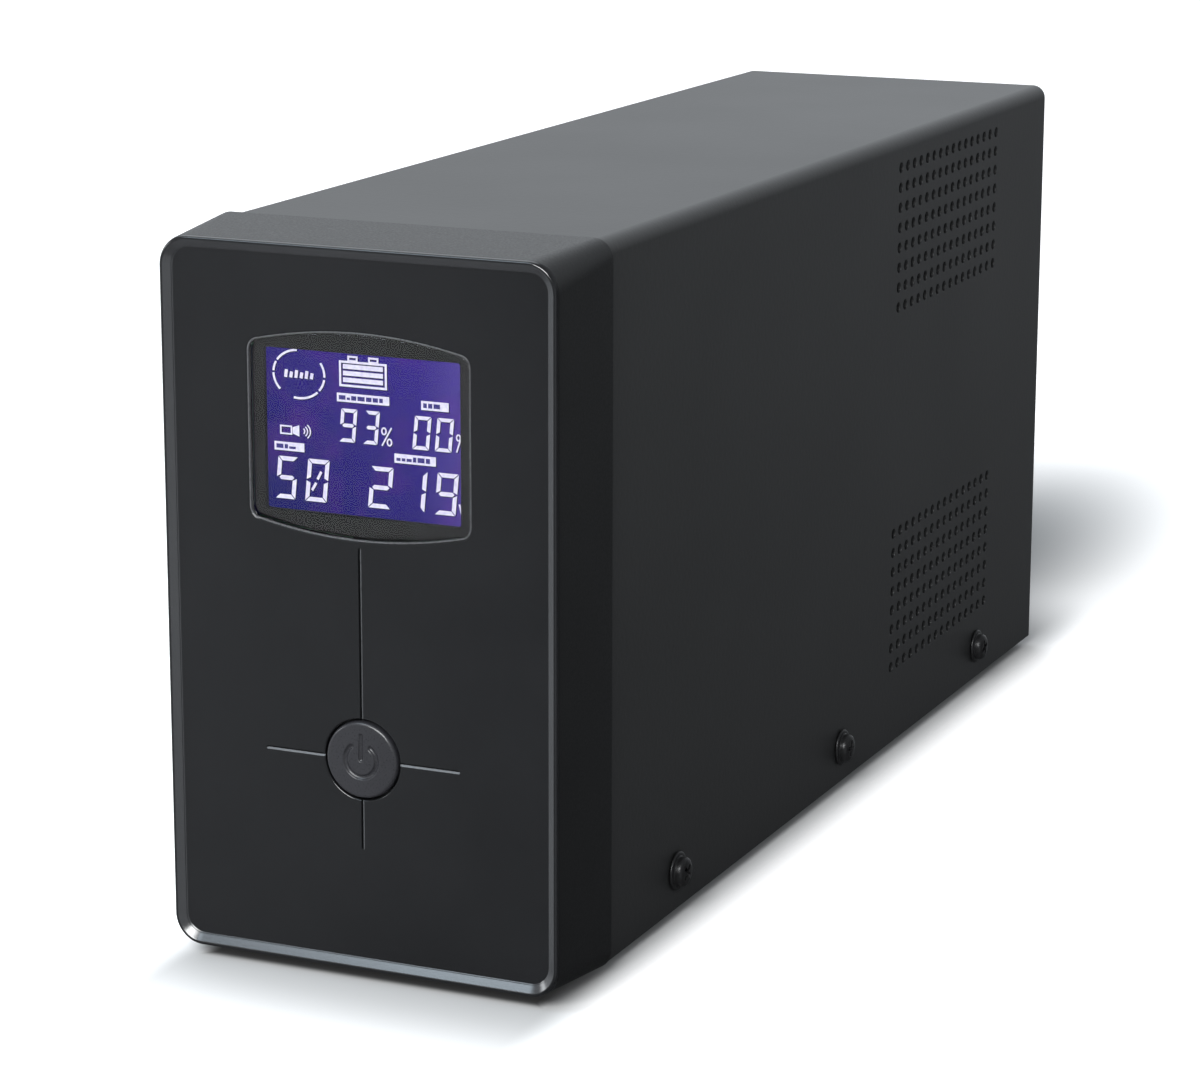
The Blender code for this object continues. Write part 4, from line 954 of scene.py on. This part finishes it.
def display_figures():
    """The lit figures and the dark caption marks, in millimetres about the display's centre."""
    lit = []
    # the broken ring, with a short row of level marks in it
    ring = (-13.5, 10.45)
    for start, end in ((94, 148), (153, 176), (181, 222), (258, 316), (322, 351), (357, 392)):
        lit += arc_stroke(ring, (5.35, 4.55), start, end, 0.42, 8)
    for k, rise in enumerate((1.45, 1.1, 1.45, 1.1, 1.45, 1.1)):
        x = ring[0] - 2.8 + 1.08 * k
        lit.append(bar((x, ring[1] - 0.75), (x + 0.2, ring[1] - 0.75 + rise), 0.62))
    # the battery: a frame with two terminals and three bars
    lit += box_stroke((-5.06, 8.9), (4.8, 13.75), 0.42)
    for x in (-3.3, 1.0):
        lit += box_stroke((x, 13.6), (x + 2.1, 14.75), 0.36)
    for level in range(3):
        z = 9.75 + 1.25 * level
        lit.append([(-4.25, z), (4.0, z), (4.0, z + 0.86), (-4.25, z + 0.86)])
    # the digits
    small, large = 0.68, 0.82
    lit += digit("9", (-5.3, -1.55), (-1.35, 4.75), small)
    lit += digit("3", (-0.3, -1.55), (3.3, 4.75), small)
    lit += percent((3.55, -1.6), (5.75, 1.9), 0.3)
    lit += digit("0", (9.9, -1.65), (13.9, 4.65), small)
    lit += digit("0", (14.5, -1.65), (18.5, 4.65), small)
    lit.append(bar((18.95, -1.5), (19.95, 1.5), 0.3))
    lit += arc_stroke((19.35, 1.25), (0.4, 0.55), 0, 360, 0.28, 10)
    lit += digit("5", (-18.9, -13.5), (-13.9, -5.4), large)
    lit += digit("0", (-12.6, -13.5), (-7.3, -5.4), large)
    lit.append(bar((-11.1, -11.4), (-10.2, -9.9), 0.5))
    lit.append(bar((-9.9, -9.2), (-9.1, -7.7), 0.5))
    lit += digit("2", (0.6, -13.5), (6.0, -5.6), large)
    lit += digit("1", (8.3, -13.5), (13.0, -5.6), large)
    lit += digit("9", (14.3, -13.5), (19.4, -5.6), large)
    lit.append(bar((20.0, -13.4), (19.45, -11.2), 0.34))
    # the sounder and its waves
    lit += box_stroke((-17.65, -1.2), (-15.1, 0.55), 0.3)
    lit.append([(-15.0, -0.9), (-13.6, -1.4), (-13.6, 0.75), (-15.0, 0.25)])
    for radius in (0.75, 1.35, 1.95):
        lit += arc_stroke((-13.2, -0.3), (radius, radius * 0.85), -48, 48, 0.24, 8)
    marks = []
    captions = (
        ((-5.6, 6.0), (5.24, 7.65)), ((11.8, 5.85), (17.4, 7.55)), ((-18.9, -4.3), (-12.6, -2.65)),
        ((6.2, -4.55), (14.7, -2.8)),
    )
    for number, (low, high) in enumerate(captions):
        plate_outline, dark = label(low, high, number)
        lit.append(plate_outline)
        marks += dark
    return lit, marks


def make_lcd():
    half_x, half_z = (lcd_high.x - lcd_low.x) / 2, (lcd_high.z - lcd_low.z) / 2
    face = lcd_low.y
    body = soft_box((-half_x, face, WINDOW_Z - half_z), (half_x, lcd_high.y, WINDOW_Z + half_z), 0.25)
    piece("lcd_backdrop", body, LCD_FINISH, "lcd", "lcd_glass", flat=True)
    lit, marks = display_figures()
    # Painted shadows: each lit figure again, a little down and to the right, in a dim glow behind it.
    shade = [[(x + 0.2, z - 0.2) for x, z in polygon] for polygon in lit]
    layers = (
        ("lcd_segment_shadow", shade, 0.03, 0.03, SEGMENT_SHADOW_FINISH),
        ("lcd_segments", lit, 0.08, 0.04, SEGMENT_FINISH),
        ("lcd_caption_marks", marks, 0.13, 0.04, CAPTION_MARK),
    )
    for name, polygons, above, thickness, finish in layers:
        piece(name, lcd_plate(polygons, face - above, thickness), finish, "lcd", weld=0)


# --- Power button ---


def button_height(x, z):
    """How far the cap's face stands back from its crown, with the power sign pressed in."""
    flat_radius = 6.75
    radius = math.hypot(x, z)
    back = 0.22 * min(1.0, radius / flat_radius) ** 2
    if radius > flat_radius:
        s = (radius - flat_radius) / (BUTTON_RADIUS - flat_radius)
        back += 0.9 * (1 - math.sqrt(max(0.0, 1 - s * s)))
    sign_radius, stroke, opening = 3.25, 0.52, math.radians(38)
    off_ring = abs(radius - sign_radius)
    if abs(math.atan2(x, z)) <= opening:
        off_ring = math.hypot(abs(x) - sign_radius * math.sin(opening), z - sign_radius * math.cos(opening))
    line_low, line_high = 0.2, 4.7
    off_line = math.hypot(x, max(line_low - z, 0, z - line_high))
    for distance in (off_ring, off_line):
        back += 0.46 * max(0.0, 1 - (distance / stroke) ** 2) ** 0.7
    return back


def make_button():
    crown = button_low.y
    sides, rings = 220, 70
    verts = [(0, crown + button_height(0, 0), BUTTON_Z)]
    for k in range(1, rings + 1):
        for x, z in circle(BUTTON_RADIUS * k / rings, sides):
            verts.append((x, crown + button_height(x, z), BUTTON_Z + z))
    faces = [(0, 1 + i, 1 + (i + 1) % sides) for i in range(sides)]
    for k in range(rings - 1):
        bridge(faces, 1 + k * sides, 1 + (k + 1) * sides, sides)
    flange = Y_PANEL + PANEL_THICKNESS + GAP
    skirt = [(BUTTON_RADIUS, flange), (9.0, flange), (9.0, flange + 1)]
    skirt += [(2.5, flange + 1), (2.5, button_high.y)]
    for radius, along in skirt:
        first = len(verts)
        verts += [(x, along, BUTTON_Z + z) for x, z in circle(radius, sides)]
        bridge(faces, first - sides, first, sides)
    faces.append(tuple(range(first, first + sides)))
    cap = ("button_cap", (verts, faces), BUTTON_FINISH, "button_plastic", "power_button")
    piece(*cap, body="button", angle=60)


# --- Fasteners and feet ---


def cross_outline(centre, reach, half_width):
    corners = []
    for turn in range(4):
        angle = math.pi / 2 * turn
        for u, v in ((reach, -half_width), (reach, half_width), (half_width, half_width)):
            x = u * math.cos(angle) - v * math.sin(angle)
            z = u * math.sin(angle) + v * math.cos(angle)
            corners.append((centre[0] + x, centre[1] + z))
    return corners


def make_cover_screws():
    """Flanged pan-head screws with a cross recess."""
    head = ((0, 2.3), (1.8, 2.28), (2.45, 2.18), (2.84, 1.94), (3.02, 1.6), (3.08, 1.2), (3.08, 0.62))
    head += ((3.2, 0.5), (3.7, 0.48), (3.9, 0.4), (4.0, 0.26), (4.0, 0.08), (3.92, 0), (1.8, 0))
    head += ((1.8, -5.0), (0, -5.0))
    for number in range(1, 7):
        node = f"cover_screw_{number}"
        centre, _ = middle(node, "yz")
        side = 1 if box(node)[0].x > 0 else -1
        face = side * (CASE_X + GAP)
        profile = [(radius, face + side * out) for radius, out in head]
        stations = [(cross_outline(centre, 1.2, 0.32), face + side * 0.8)]
        stations.append((cross_outline(centre, 2.15, 0.5), face + side * 3.0))
        to_axis = Matrix.Translation((0, *centre))
        turn = Matrix.Rotation(math.radians(17 + 31 * number), 4, "X")
        spin = to_axis @ turn @ to_axis.inverted()
        verts, faces = loft("X", stations)
        recess = ([spin @ Vector(v) for v in verts], faces)
        screw = (f"screw_{number}", turned("X", centre, profile, 48), SCREW_FINISH, "screw_black", node)
        piece(*screw, angle=40, flat=True, cuts=[recess])


def make_feet():
    for number in range(1, 5):
        node = f"rubber_foot_{number}"
        centre, (radius, _) = middle(node, "xy")
        top = box(node)[1].z
        profile = [(0, 0.9), (1.6, 0.9), (2.0, 0.75), (2.3, 0.2), (2.7, 0), (radius - 1.2, 0)]
        profile += [(radius - 0.6, 0.1), (radius - 0.2, 0.4), (radius, 0.9)]
        profile += [(radius, top - 0.2), (radius - 0.2, top), (0, top)]
        shape = turned("Z", centre, profile, 64)
        piece(f"foot_{number}", shape, RUBBER_FINISH, "rubber", node, angle=50, flat=True)


# --- Rear connectors ---

CONNECTOR_HALF = (12.25, 8.25)
CONNECTOR_CUT = 4.5
FLANGE_THICKNESS = 2.0


def six_sided(centre, half, cut, radius):
    """A rectangle with its two upper corners cut off and every corner rounded."""
    x, z = half
    corners = ((-x, -z), (x, -z), (x, z - cut), (x - cut, z), (cut - x, z), (-x, z - cut))
    return soft_polygon([(centre[0] + u, centre[1] + v, radius) for u, v in corners])


def connector(centre, inset):
    half = (CONNECTOR_HALF[0] - inset, CONNECTOR_HALF[1] - inset)
    cut = CONNECTOR_CUT - inset * (2 - math.sqrt(2))
    return six_sided(centre, half, cut, max(0.2, 0.8 - 0.5 * inset))


def node_flange(node):
    """A connector's own flange: centre, half size, outer face, and the back of its block."""
    low, high = box(node)
    return *middle(node), high.y, low.y


def flanged_stations(centre, half, face, back, margin=1.6, cut=0.9, radius=0.45):
    """The block behind the panel and the flange on it, up to its rounded outer face."""
    block = six_sided(centre, (half[0] - margin, half[1] - margin), cut, radius)
    behind = face - FLANGE_THICKNESS
    stations = [(block, back), (block, behind), (six_sided(centre, half, cut, radius), behind)]
    for out, inset in quarter(4, 0.5):
        stations.append((six_sided(centre, (half[0] - inset, half[1] - inset), cut, radius), face - out))
    return stations


def recess_lip(outline_at, face, edge=0.35):
    """Stations that turn over the rim of a hole in the face."""
    return [(outline_at(-grow), face - depth) for grow, depth in quarter(3, edge)]


def slot_cut(centre, half, front, floor):
    """A contact opening with a flared mouth."""
    flare = 0.3
    narrow = soft_rectangle(*half, 0.25, centre, 2)
    wide = soft_rectangle(half[0] + flare, half[1] + flare, 0.45, centre, 2)
    return loft("Y", [(narrow, floor), (narrow, front - flare), (wide, front), (wide, front + 1)])


PIN_PLACES = ((-7.0, -2.0), (0, 2.0), (7.0, -2.0))


def make_outlets():
    core_inset = 1.9
    for number in range(1, 4):
        node = f"mains_outlet_{number}"
        centre, half, face, back = node_flange(node)
        stations = flanged_stations(centre, half, face, back)
        stations += recess_lip(lambda inset: connector(centre, inset), face)
        floor = face - 15.0
        stations += [(connector(centre, 0), floor), (connector(centre, core_inset), floor)]
        core_face = face - 0.2
        for out, inset in quarter(3, 0.4):
            stations.append((connector(centre, core_inset + inset), core_face - out))
        places = [(centre[0] + dx, centre[1] + dz) for dx, dz in PIN_PLACES]
        slots = [slot_cut(place, (1.15, 2.2), core_face, face - 14.0) for place in places]
        outlet = (f"outlet_{number}", loft("Y", stations), SOCKET_FINISH, "black_plastic", node)
        piece(*outlet, angle=30, flat=True, cuts=[joined(slots)])
        springs = []
        for x, z in places:
            for inner, outer in ((-1.1, -0.55), (0.55, 1.1)):
                low = (x + inner, face - 12.0, z - 1.9)
                springs.append(soft_box(low, (x + outer, face - 2.5, z + 1.9), 0.15))
        piece(f"outlet_{number}_contacts", joined(springs), BRASS_FINISH, "brass")


def make_inlet():
    centre, half, face, back = node_flange("mains_inlet")
    stations = flanged_stations(centre, half, face, back)
    stations.append((six_sided(centre, (half[0] - 1.2, half[1] - 1.2), 0.9, 0.45), face))
    recess_centre = (centre[0], middle("inlet_pin_line")[0][1] + 2.0)
    floor = face - 17.0
    edge = 0.35
    recess = [(connector(recess_centre, 0), floor), (connector(recess_centre, 0), face - edge)]
    recess += reversed(recess_lip(lambda inset: connector(recess_centre, inset), face, edge)[:-1])
    recess.append((connector(recess_centre, -edge), face + 1))
    (_, drawer_z), (half_width, half_height) = middle("fuse_drawer")
    slot = soft_rectangle(half_width + GAP, half_height + GAP, 0.3, (centre[0], drawer_z), 2)
    openings = joined([loft("Y", recess), loft("Y", [(slot, face - 18.2), (slot, face + 1)])])
    collars = []
    pin_half = (1.0, 2.0)
    for name in ("line", "earth", "neutral"):
        place, _ = middle(f"inlet_pin_{name}")
        hole = soft_rectangle(pin_half[0] + GAP, pin_half[1] + GAP, 0.3, place, 2)
        collars.append(loft("Y", [(hole, back - 1), (hole, floor + 1)]))
        make_pin(name, place, pin_half)
    inlet = ("inlet", loft("Y", stations), SOCKET_FINISH, "black_plastic", "mains_inlet")
    piece(*inlet, angle=30, flat=True, cuts=[openings, joined(collars)])


def make_pin(name, centre, half):
    """A flat mains blade with rounded edges and a tapered tip."""
    node = f"inlet_pin_{name}"
    low, high = box(node)
    blade = soft_rectangle(*half, 0.3, centre, 3)
    stations = [(blade, low.y), (blade, high.y - 1.6)]
    for inset, out in ((0.12, 1.0), (0.32, 0.5), (0.6, 0.12), (0.75, 0)):
        stations.append((soft_rectangle(half[0] - inset, half[1] - inset, 0.2, centre, 3), high.y - out))
    piece(f"pin_{name}", loft("Y", stations), BRASS_FINISH, "brass", node, angle=40, flat=True)


def make_fuse_drawer():
    low, high = box("fuse_drawer")
    x = (low.x + high.x) / 2
    trough = soft_box((x - 10.4, low.y + 2.0, low.z + 1), (x + 10.4, low.y + 7.9, high.z + 1), 0.4)
    pull = soft_box((x - 5.0, high.y - 1.6, high.z - 1.4), (x + 5.0, high.y + 1, high.z + 1), 0.5)
    drawer = ("drawer", soft_box(low, high, 0.45), DRAWER_FINISH, "black_plastic", "fuse_drawer")
    piece(*drawer, body="drawer", angle=40, flat=True, cuts=[joined([trough, pull])])

    low, high = box("fuse")
    centre, (_, radius) = middle("fuse", "yz")
    length, edge, wall = 5.0, 0.3, 0.25
    cap = [(0, 0), (radius - edge, 0), (radius - 0.3 * edge, 0.3 * edge), (radius, edge), (radius, length)]
    cap += [(radius - wall, length + 0.1), (radius - wall, length - 1), (0, length - 1)]
    ends = []
    for end, inward in ((low.x, 1), (high.x, -1)):
        ends.append(turned("X", centre, [(r, end + inward * along) for r, along in cap], 40))
    piece("fuse_caps", joined(ends), FUSE_METAL, "fuse_metal", "fuse", body="drawer", angle=40)

    def rod(name, size, inset, sides, finish, angle):
        profile = [(0, low.x + inset), (size, low.x + inset), (size, high.x - inset), (0, high.x - inset)]
        piece(name, turned("X", centre, profile, sides), finish, "fuse_metal", body="drawer", angle=angle)

    rod("fuse_tube", radius - 0.3, 4.2, 40, LENS_FINISH, 40)
    rod("fuse_element", 0.12, 4.4, 10, FUSE_METAL, 35)


def make_usb_port():
    centre, half, face, back = node_flange("usb_port")
    x, z = centre

    def shell(inset):
        return six_sided(centre, (4.4 - inset, 4.0 - inset), 1.3, 0.3)

    stations = flanged_stations(centre, half, face, back, 0.9, 0.6, 0.3)
    stations += recess_lip(shell, face, 0.25)
    stations.append((shell(0), face - 10.0))
    piece("usb_shell", loft("Y", stations), SHELL_FINISH, "bare_steel", "usb_port", angle=30, flat=True)
    tongue = soft_box((x - 2.8, face - 10.2, z - 1.6), (x + 2.8, face - 1.2, z + 1.6), 0.3)
    piece("usb_tongue", tongue, SOCKET_FINISH, "black_plastic")
    strips = []
    for dx in (-1.4, 1.4):
        for low, high in ((1.5, 1.68), (-1.68, -1.5)):
            near, far = (x + dx - 0.5, face - 9.0, z + low), (x + dx + 0.5, face - 1.8, z + high)
            strips.append(soft_box(near, far, 0.05, 2))
    piece("usb_contacts", joined(strips), GOLD_FINISH, "brass")


def make_data_jacks():
    centre, half, face, back = node_flange("surge_jacks")
    stations = flanged_stations(centre, half, face, back, 1.2, 0.7, 0.35)
    stations.append((six_sided(centre, (half[0] - 1.0, half[1] - 1.0), 0.7, 0.35), face))
    # the left half of an opening, from its top down to the notch of the catch
    left = ((-5.9, 3.6), (-5.9, -3.2), (-3.1, -3.2), (-3.1, -4.9))
    # a contact's path in the opening, seen from the side
    path = ((-12.6, -1.2), (-9.0, -0.6), (-3.4, 2.6), (-2.2, 3.3), (-1.6, 3.75))
    flare = 0.3
    cavities, wires = [], []
    for dx in (-7.3, 7.3):
        x, z = centre[0] + dx, centre[1] + 0.6

        def opening(grow):
            side = [(u - grow, v + (grow if v > 0 else -grow)) for u, v in left]
            side += [(-u, v) for u, v in reversed(side)]
            return soft_polygon([(x + u, z + v, 0.15) for u, v in side], 2)

        narrow, wide = opening(0), opening(flare)
        stages = [(narrow, face - 13.0), (narrow, face - flare), (wide, face), (wide, face + 1)]
        cavities.append(loft("Y", stages))
        for k in range(8):
            points = [(x + (k - 3.5) * 1.02, face + along, z + rise) for along, rise in path]
            wires.append(wire_tube(points, 0.18))
    block = ("data_jacks", loft("Y", stations), SOCKET_FINISH, "black_plastic", "surge_jacks")
    piece(*block, angle=30, flat=True, cuts=[joined(cavities)])
    piece("data_jack_contacts", joined(wires), GOLD_FINISH, "brass", angle=60)


def wire_tube(points, radius, sides=8):
    """A thin wire through points in one plane of constant x."""
    verts, faces = [], []
    across = Vector((1, 0, 0))
    last = len(points) - 1
    for k, point in enumerate(points):
        along = Vector(points[min(last, k + 1)]) - Vector(points[max(0, k - 1)])
        up = along.normalized().cross(across)
        verts += [Vector(point) + u * across + v * up for u, v in circle(radius, sides)]
        if k:
            bridge(faces, (k - 1) * sides, k * sides, sides)
    faces += [tuple(range(sides)), tuple(range(last * sides, (last + 1) * sides))]
    return verts, faces


def make_barrier_sheet():
    """A black film stands on the main board's left edge, between its parts and the cover."""
    board_low, board_high = box("main_board")
    y = Y_SEAM + VENT_FROM_SEAM
    half = VENT_COLUMNS * VENT_PITCH / 2 + 2
    left = board_low.x - 1.9
    film = soft_box((left, y - half, board_high.z + 1), (left + 0.5, y + half, CASE_TOP - 4), 0.15)
    piece("barrier_sheet", film, SOCKET_FINISH, "black_plastic")


# --- Materials of the nodes that keep their own shape ---


def dress(finish, *nodes):
    """Gives CAD nodes a better material."""
    for node in nodes:
        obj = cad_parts[node]
        for slot in obj.material_slots:
            slot.link = "OBJECT"
            slot.material = finish
        if not obj.material_slots:
            obj.data.materials.append(finish)


def battery_case(name):
    """Moulded battery case with horizontal ribs."""
    finish = Finish(name)
    ribs = finish.math("SINE", finish.math("MULTIPLY", finish.axes()["Z"], 2 * math.pi / (6 * MM)))
    fine = finish.noise(0.6, 3, 0.6)
    tone = finish.blend(fine, (0.022, 0.022, 0.024), (0.040, 0.040, 0.042))
    grain = finish.bump(fine, 0.02)
    return finish.wear(tone, finish.spread(fine, 0.42, 0.58), finish.bump(ribs, 0.12, grain))


def dress_nodes():
    dress(STEEL_FINISH, "chassis_tray", "board_bridge_1", "board_bridge_2", "transformer_bridge")
    dress(REAR_PAINT, "rear_panel")
    dress(battery_case("battery_ribbed_case"), "battery")
    tinned = worn_metal("tinned_terminal", (0.66, 0.66, 0.64), 0.3)
    dress(tinned, "battery_terminal_negative", "battery_terminal_positive")
    dress(BOARD_FINISH, "main_board", "display_board")
    laminations = banded("core_laminations", (0.16, 0.16, 0.17), (0.34, 0.34, 0.35), 0.16, "Y", 0.4, 0.8)
    dress(laminations, "transformer_core")
    turns = banded("coil_enamel_turns", (0.20, 0.10, 0.03), (0.60, 0.36, 0.10), 0.3, "Z", 0.3)
    dress(turns, "transformer_coil")
    dress(worn_metal("heat_sink_extrusion", (0.62, 0.63, 0.64), 0.35, (1, 0.02, 1), 0.5), "heat_sink")
    transistors = [f"power_transistor_{number}" for number in range(1, 5)]
    plastics = (
        ("relay_case", (0.010, 0.055, 0.20), 0.3, "relay_1", "relay_2"),
        ("capacitor_sleeve", (0.014, 0.018, 0.06), 0.28, "capacitor_1", "capacitor_2"),
        ("component_black", (0.014, 0.014, 0.015), 0.45, "alarm_buzzer", "switch_body"),
        ("component_black_epoxy", (0.012, 0.012, 0.012), 0.5, *transistors),
        ("plunger_white", (0.45, 0.45, 0.42), 0.4, "switch_plunger"),
        ("light_guide_acrylic", (0.62, 0.63, 0.66), 0.2, "backlight_guide"),
        ("lead_insulation_black", (0.015, 0.015, 0.015), 0.4, "battery_lead_negative"),
        ("lead_insulation_red", (0.33, 0.012, 0.012), 0.4, "battery_lead_positive"),
    )
    for name, colour, roughness, *nodes in plastics:
        dress(grained_plastic(name, colour, roughness), *nodes)
    dress(banded("ribbon_strands", (0.26, 0.26, 0.27), (0.40, 0.40, 0.41), 0.2, "X", 0.5), "display_ribbon")
    dress(worn_metal("bezel_screw_zinc", (0.55, 0.55, 0.54), 0.35), "bezel_screw_1", "bezel_screw_2")


# --- Floor, light and camera ---


FLOOR_ALBEDO = 0.85
# The floor's own glow, and the distance from the object's foot over which it rises to that
FLOOR_GLOW = 0.62
GLOW_REACH = 0.06
# The soft shadow behind the object: its centre, its shape, where it starts and ends to fade,
# and what it leaves of the floor's light
SHADOW_CENTRE = (-0.010, 0.222, 0)
SHADOW_SHAPE = (1, 0.42, 1)
SHADOW_REACH = (0.012, 0.084)
SHADOW_SHADE = 0.40
# The soft contact shade: how far it reaches from the object's foot, how much narrower it is at
# the sides, and what it leaves of the floor's light at the foot and under the object
CONTACT_REACH = 0.05
CONTACT_SIDES = 4.0
CONTACT_SHADE = 0.55
UNDER_SHADE = 0.12


def make_floor():
    """A pale floor: softly shaded at the object's foot, and white further away."""
    finish = Finish("floor_pale", roughness=0.9, specular=0.0)

    def eased(*values):
        return finish.remap(*values, interpolation_type="SMOOTHSTEP")

    half = (cad_high.x - 5.5 * MM, cad_high.y - 2 * MM, 1.0)
    past = finish.vector("SUBTRACT", finish.vector("ABSOLUTE", finish.coordinates), half)
    axes = finish.add("SeparateXYZ", {"Vector": past}).outputs
    outermost = finish.math("MAXIMUM", axes["X"], axes["Y"])
    spread = finish.vector("MULTIPLY", finish.vector("MAXIMUM", past), (CONTACT_SIDES, 1, 1))
    from_foot = finish.vector("LENGTH", spread, output="Value")
    contact = eased(from_foot, 0, CONTACT_REACH, CONTACT_SHADE, 1)
    shade = finish.math("MULTIPLY", contact, eased(outermost, -3 * MM, 0, UNDER_SHADE, 1))
    from_shadow = finish.vector("SUBTRACT", finish.coordinates, SHADOW_CENTRE)
    depth = finish.vector("LENGTH", finish.vector("MULTIPLY", from_shadow, SHADOW_SHAPE), output="Value")
    clear = eased(depth, *SHADOW_REACH, 0, 1)
    shade = finish.math("MULTIPLY", shade, eased(depth, *SHADOW_REACH, SHADOW_SHADE, 1))
    glow = finish.math("MULTIPLY", eased(from_foot, 0, GLOW_REACH, 0.02, FLOOR_GLOW), clear)
    mottle = finish.remap(finish.noise(400, 2), 0, 1, FLOOR_ALBEDO, 1.02 * FLOOR_ALBEDO)
    level = finish.math("MULTIPLY", mottle, shade)
    finish.set("Base Color", finish.blend(level, (0, 0, 0), (1, 1, 1)))
    finish.set("Emission Color", (1, 1, 1))
    finish.set("Emission Strength", glow)
    size = 14000
    corners = [(-size, -size, 0), (size, -size, 0), (size, size, 0), (-size, size, 0)]
    floor = new_object("floor", (corners, [(0, 1, 2, 3)]), [finish.material])
    floor.visible_glossy = False


# In the surround, each lobe is a direction, the cosines where it starts and is full, its radiance
WORLD_BASE = 0.04
WORLD_LOBES = (
    ((0.0, 0.0, 1.0), -0.1, 0.35, 0.26), ((-0.394, 0.36, 0.845), 0.88, 0.97, 2.2),
    ((-0.394, -0.02, -0.918), 0.75, 0.95, 0.10), ((-0.42, -0.87, -0.25), 0.6, 0.95, 0.14),
    ((-0.394, 0.888, 0.235), 0.75, 0.97, 0.60), ((0.75, -0.62, -0.235), 0.85, 0.97, 0.42),
    ((-0.96, 0.10, -0.10), 0.80, 0.97, 0.90), ((0.10, 0.99, 0.15), 0.84, 1.0, 0.32),
)
# A reflector card to the left of the front, as lobes: its edge's plane, and the area it fills
CARD_EDGE = ((0.8956, -0.4192, -0.1486), 0.003, -0.003, 0.17)
CARD_AREA = ((-0.5, -0.84, -0.22), 0.7, 0.9, 1.0)


def make_world():
    """A soft studio surround: one gentle lobe of light for each side of the object."""
    world = bpy.data.worlds.new("studio")
    bpy.context.scene.world = world
    world.use_nodes = True
    tree = Nodes(world.node_tree)
    direction = tree.add("TexCoord", {}).outputs["Generated"]

    def lobe(towards, start, full, radiance, **settings):
        cosine = tree.vector("DOT_PRODUCT", direction, Vector(towards).normalized(), "Value")
        return tree.remap(cosine, start, full, 0, radiance, **settings)

    total = WORLD_BASE
    for values in WORLD_LOBES:
        total = tree.math("ADD", lobe(*values, interpolation_type="SMOOTHSTEP"), total)
    # one side of the card's edge is a little brighter, in front of the panel
    card = {0: lobe(*CARD_EDGE), 1: lobe(*CARD_AREA), 2: total}
    total = tree.add("Math", card, operation="MULTIPLY_ADD").outputs[0]
    background = tree.nodes["Background"]
    tree.feed(background.inputs["Color"], (0.945, 0.995, 1.045))
    tree.feed(background.inputs["Strength"], total)


def area_light(name, size, radiance, where, target, colour):
    """A softbox of the given radiance that looks at a target."""
    data = bpy.data.lights.new(name, "AREA")
    data.shape = "RECTANGLE"
    data.size, data.size_y = size
    data.energy = radiance * math.pi * size[0] * size[1]
    data.color = colour
    lamp = bpy.data.objects.new(name, data)
    bpy.context.collection.objects.link(lamp)
    lamp.location = where
    lamp.rotation_euler = (target - where).to_track_quat("-Z", "Y").to_euler()
    lamp.visible_camera = False


# Each softbox: its name, size, radiance, direction from the front's foot, distance and colour
SOFTBOXES = (
    ("softbox_front", (1.0, 0.6), 20.0, (0.07, -0.82, 0.56), 1.6, (0.98, 0.993, 1.0)),
    ("softbox_upper_left", (0.55, 0.45), 6.5, (-0.394, -0.474, 0.787), 1.5, (0.74, 0.88, 1.0)),
    ("strip_left", (0.5, 0.3), 7.0, (-0.88, -0.35, 0.28), 1.5, (0.95, 0.98, 1.0)),
)


def make_lights():
    foot = Vector((0, Y_FRONT * MM, 0.03))
    for name, size, radiance, direction, distance, colour in SOFTBOXES:
        where = foot + distance * Vector(direction).normalized()
        area_light(name, size, radiance, where, foot, colour)


# The camera's place from the foot of the seam, its azimuth, elevation and roll in degrees, and lens
CAMERA_FROM_SEAM = (0.31456, -0.62103, 0.24789)
CAMERA_TURNS = (-23.936, 13.591, 0.136)
CAMERA_LENS = 112.48


def make_camera():
    """Seen from the front right and a little above."""
    azimuth, elevation, roll = [math.radians(angle) for angle in CAMERA_TURNS]
    where = Vector((0, Y_SEAM, CASE_BOTTOM)) * MM + Vector(CAMERA_FROM_SEAM)
    level = Matrix.Translation(where) @ Matrix.Rotation(-azimuth, 4, "Z")
    aimed = level @ Matrix.Rotation(math.pi / 2 - elevation, 4, "X")
    data = bpy.data.cameras.new("camera")
    data.sensor_width = 36.0
    data.lens = CAMERA_LENS
    data.clip_start = 0.01
    data.clip_end = 100
    camera = bpy.data.objects.new("camera", data)
    bpy.context.collection.objects.link(camera)
    camera.matrix_world = aimed @ Matrix.Rotation(roll, 4, "Z")
    bpy.context.scene.camera = camera


def main():
    make_cover()
    make_bezel()
    make_window_bead()
    make_lens()
    make_mask()
    make_lcd()
    make_button()
    make_cover_screws()
    make_feet()
    make_outlets()
    make_inlet()
    make_fuse_drawer()
    make_usb_port()
    make_data_jacks()
    make_barrier_sheet()
    dress_nodes()
    make_floor()
    make_world()
    make_lights()
    make_camera()
    bpy.context.scene.view_settings.view_transform = "Standard"


main()
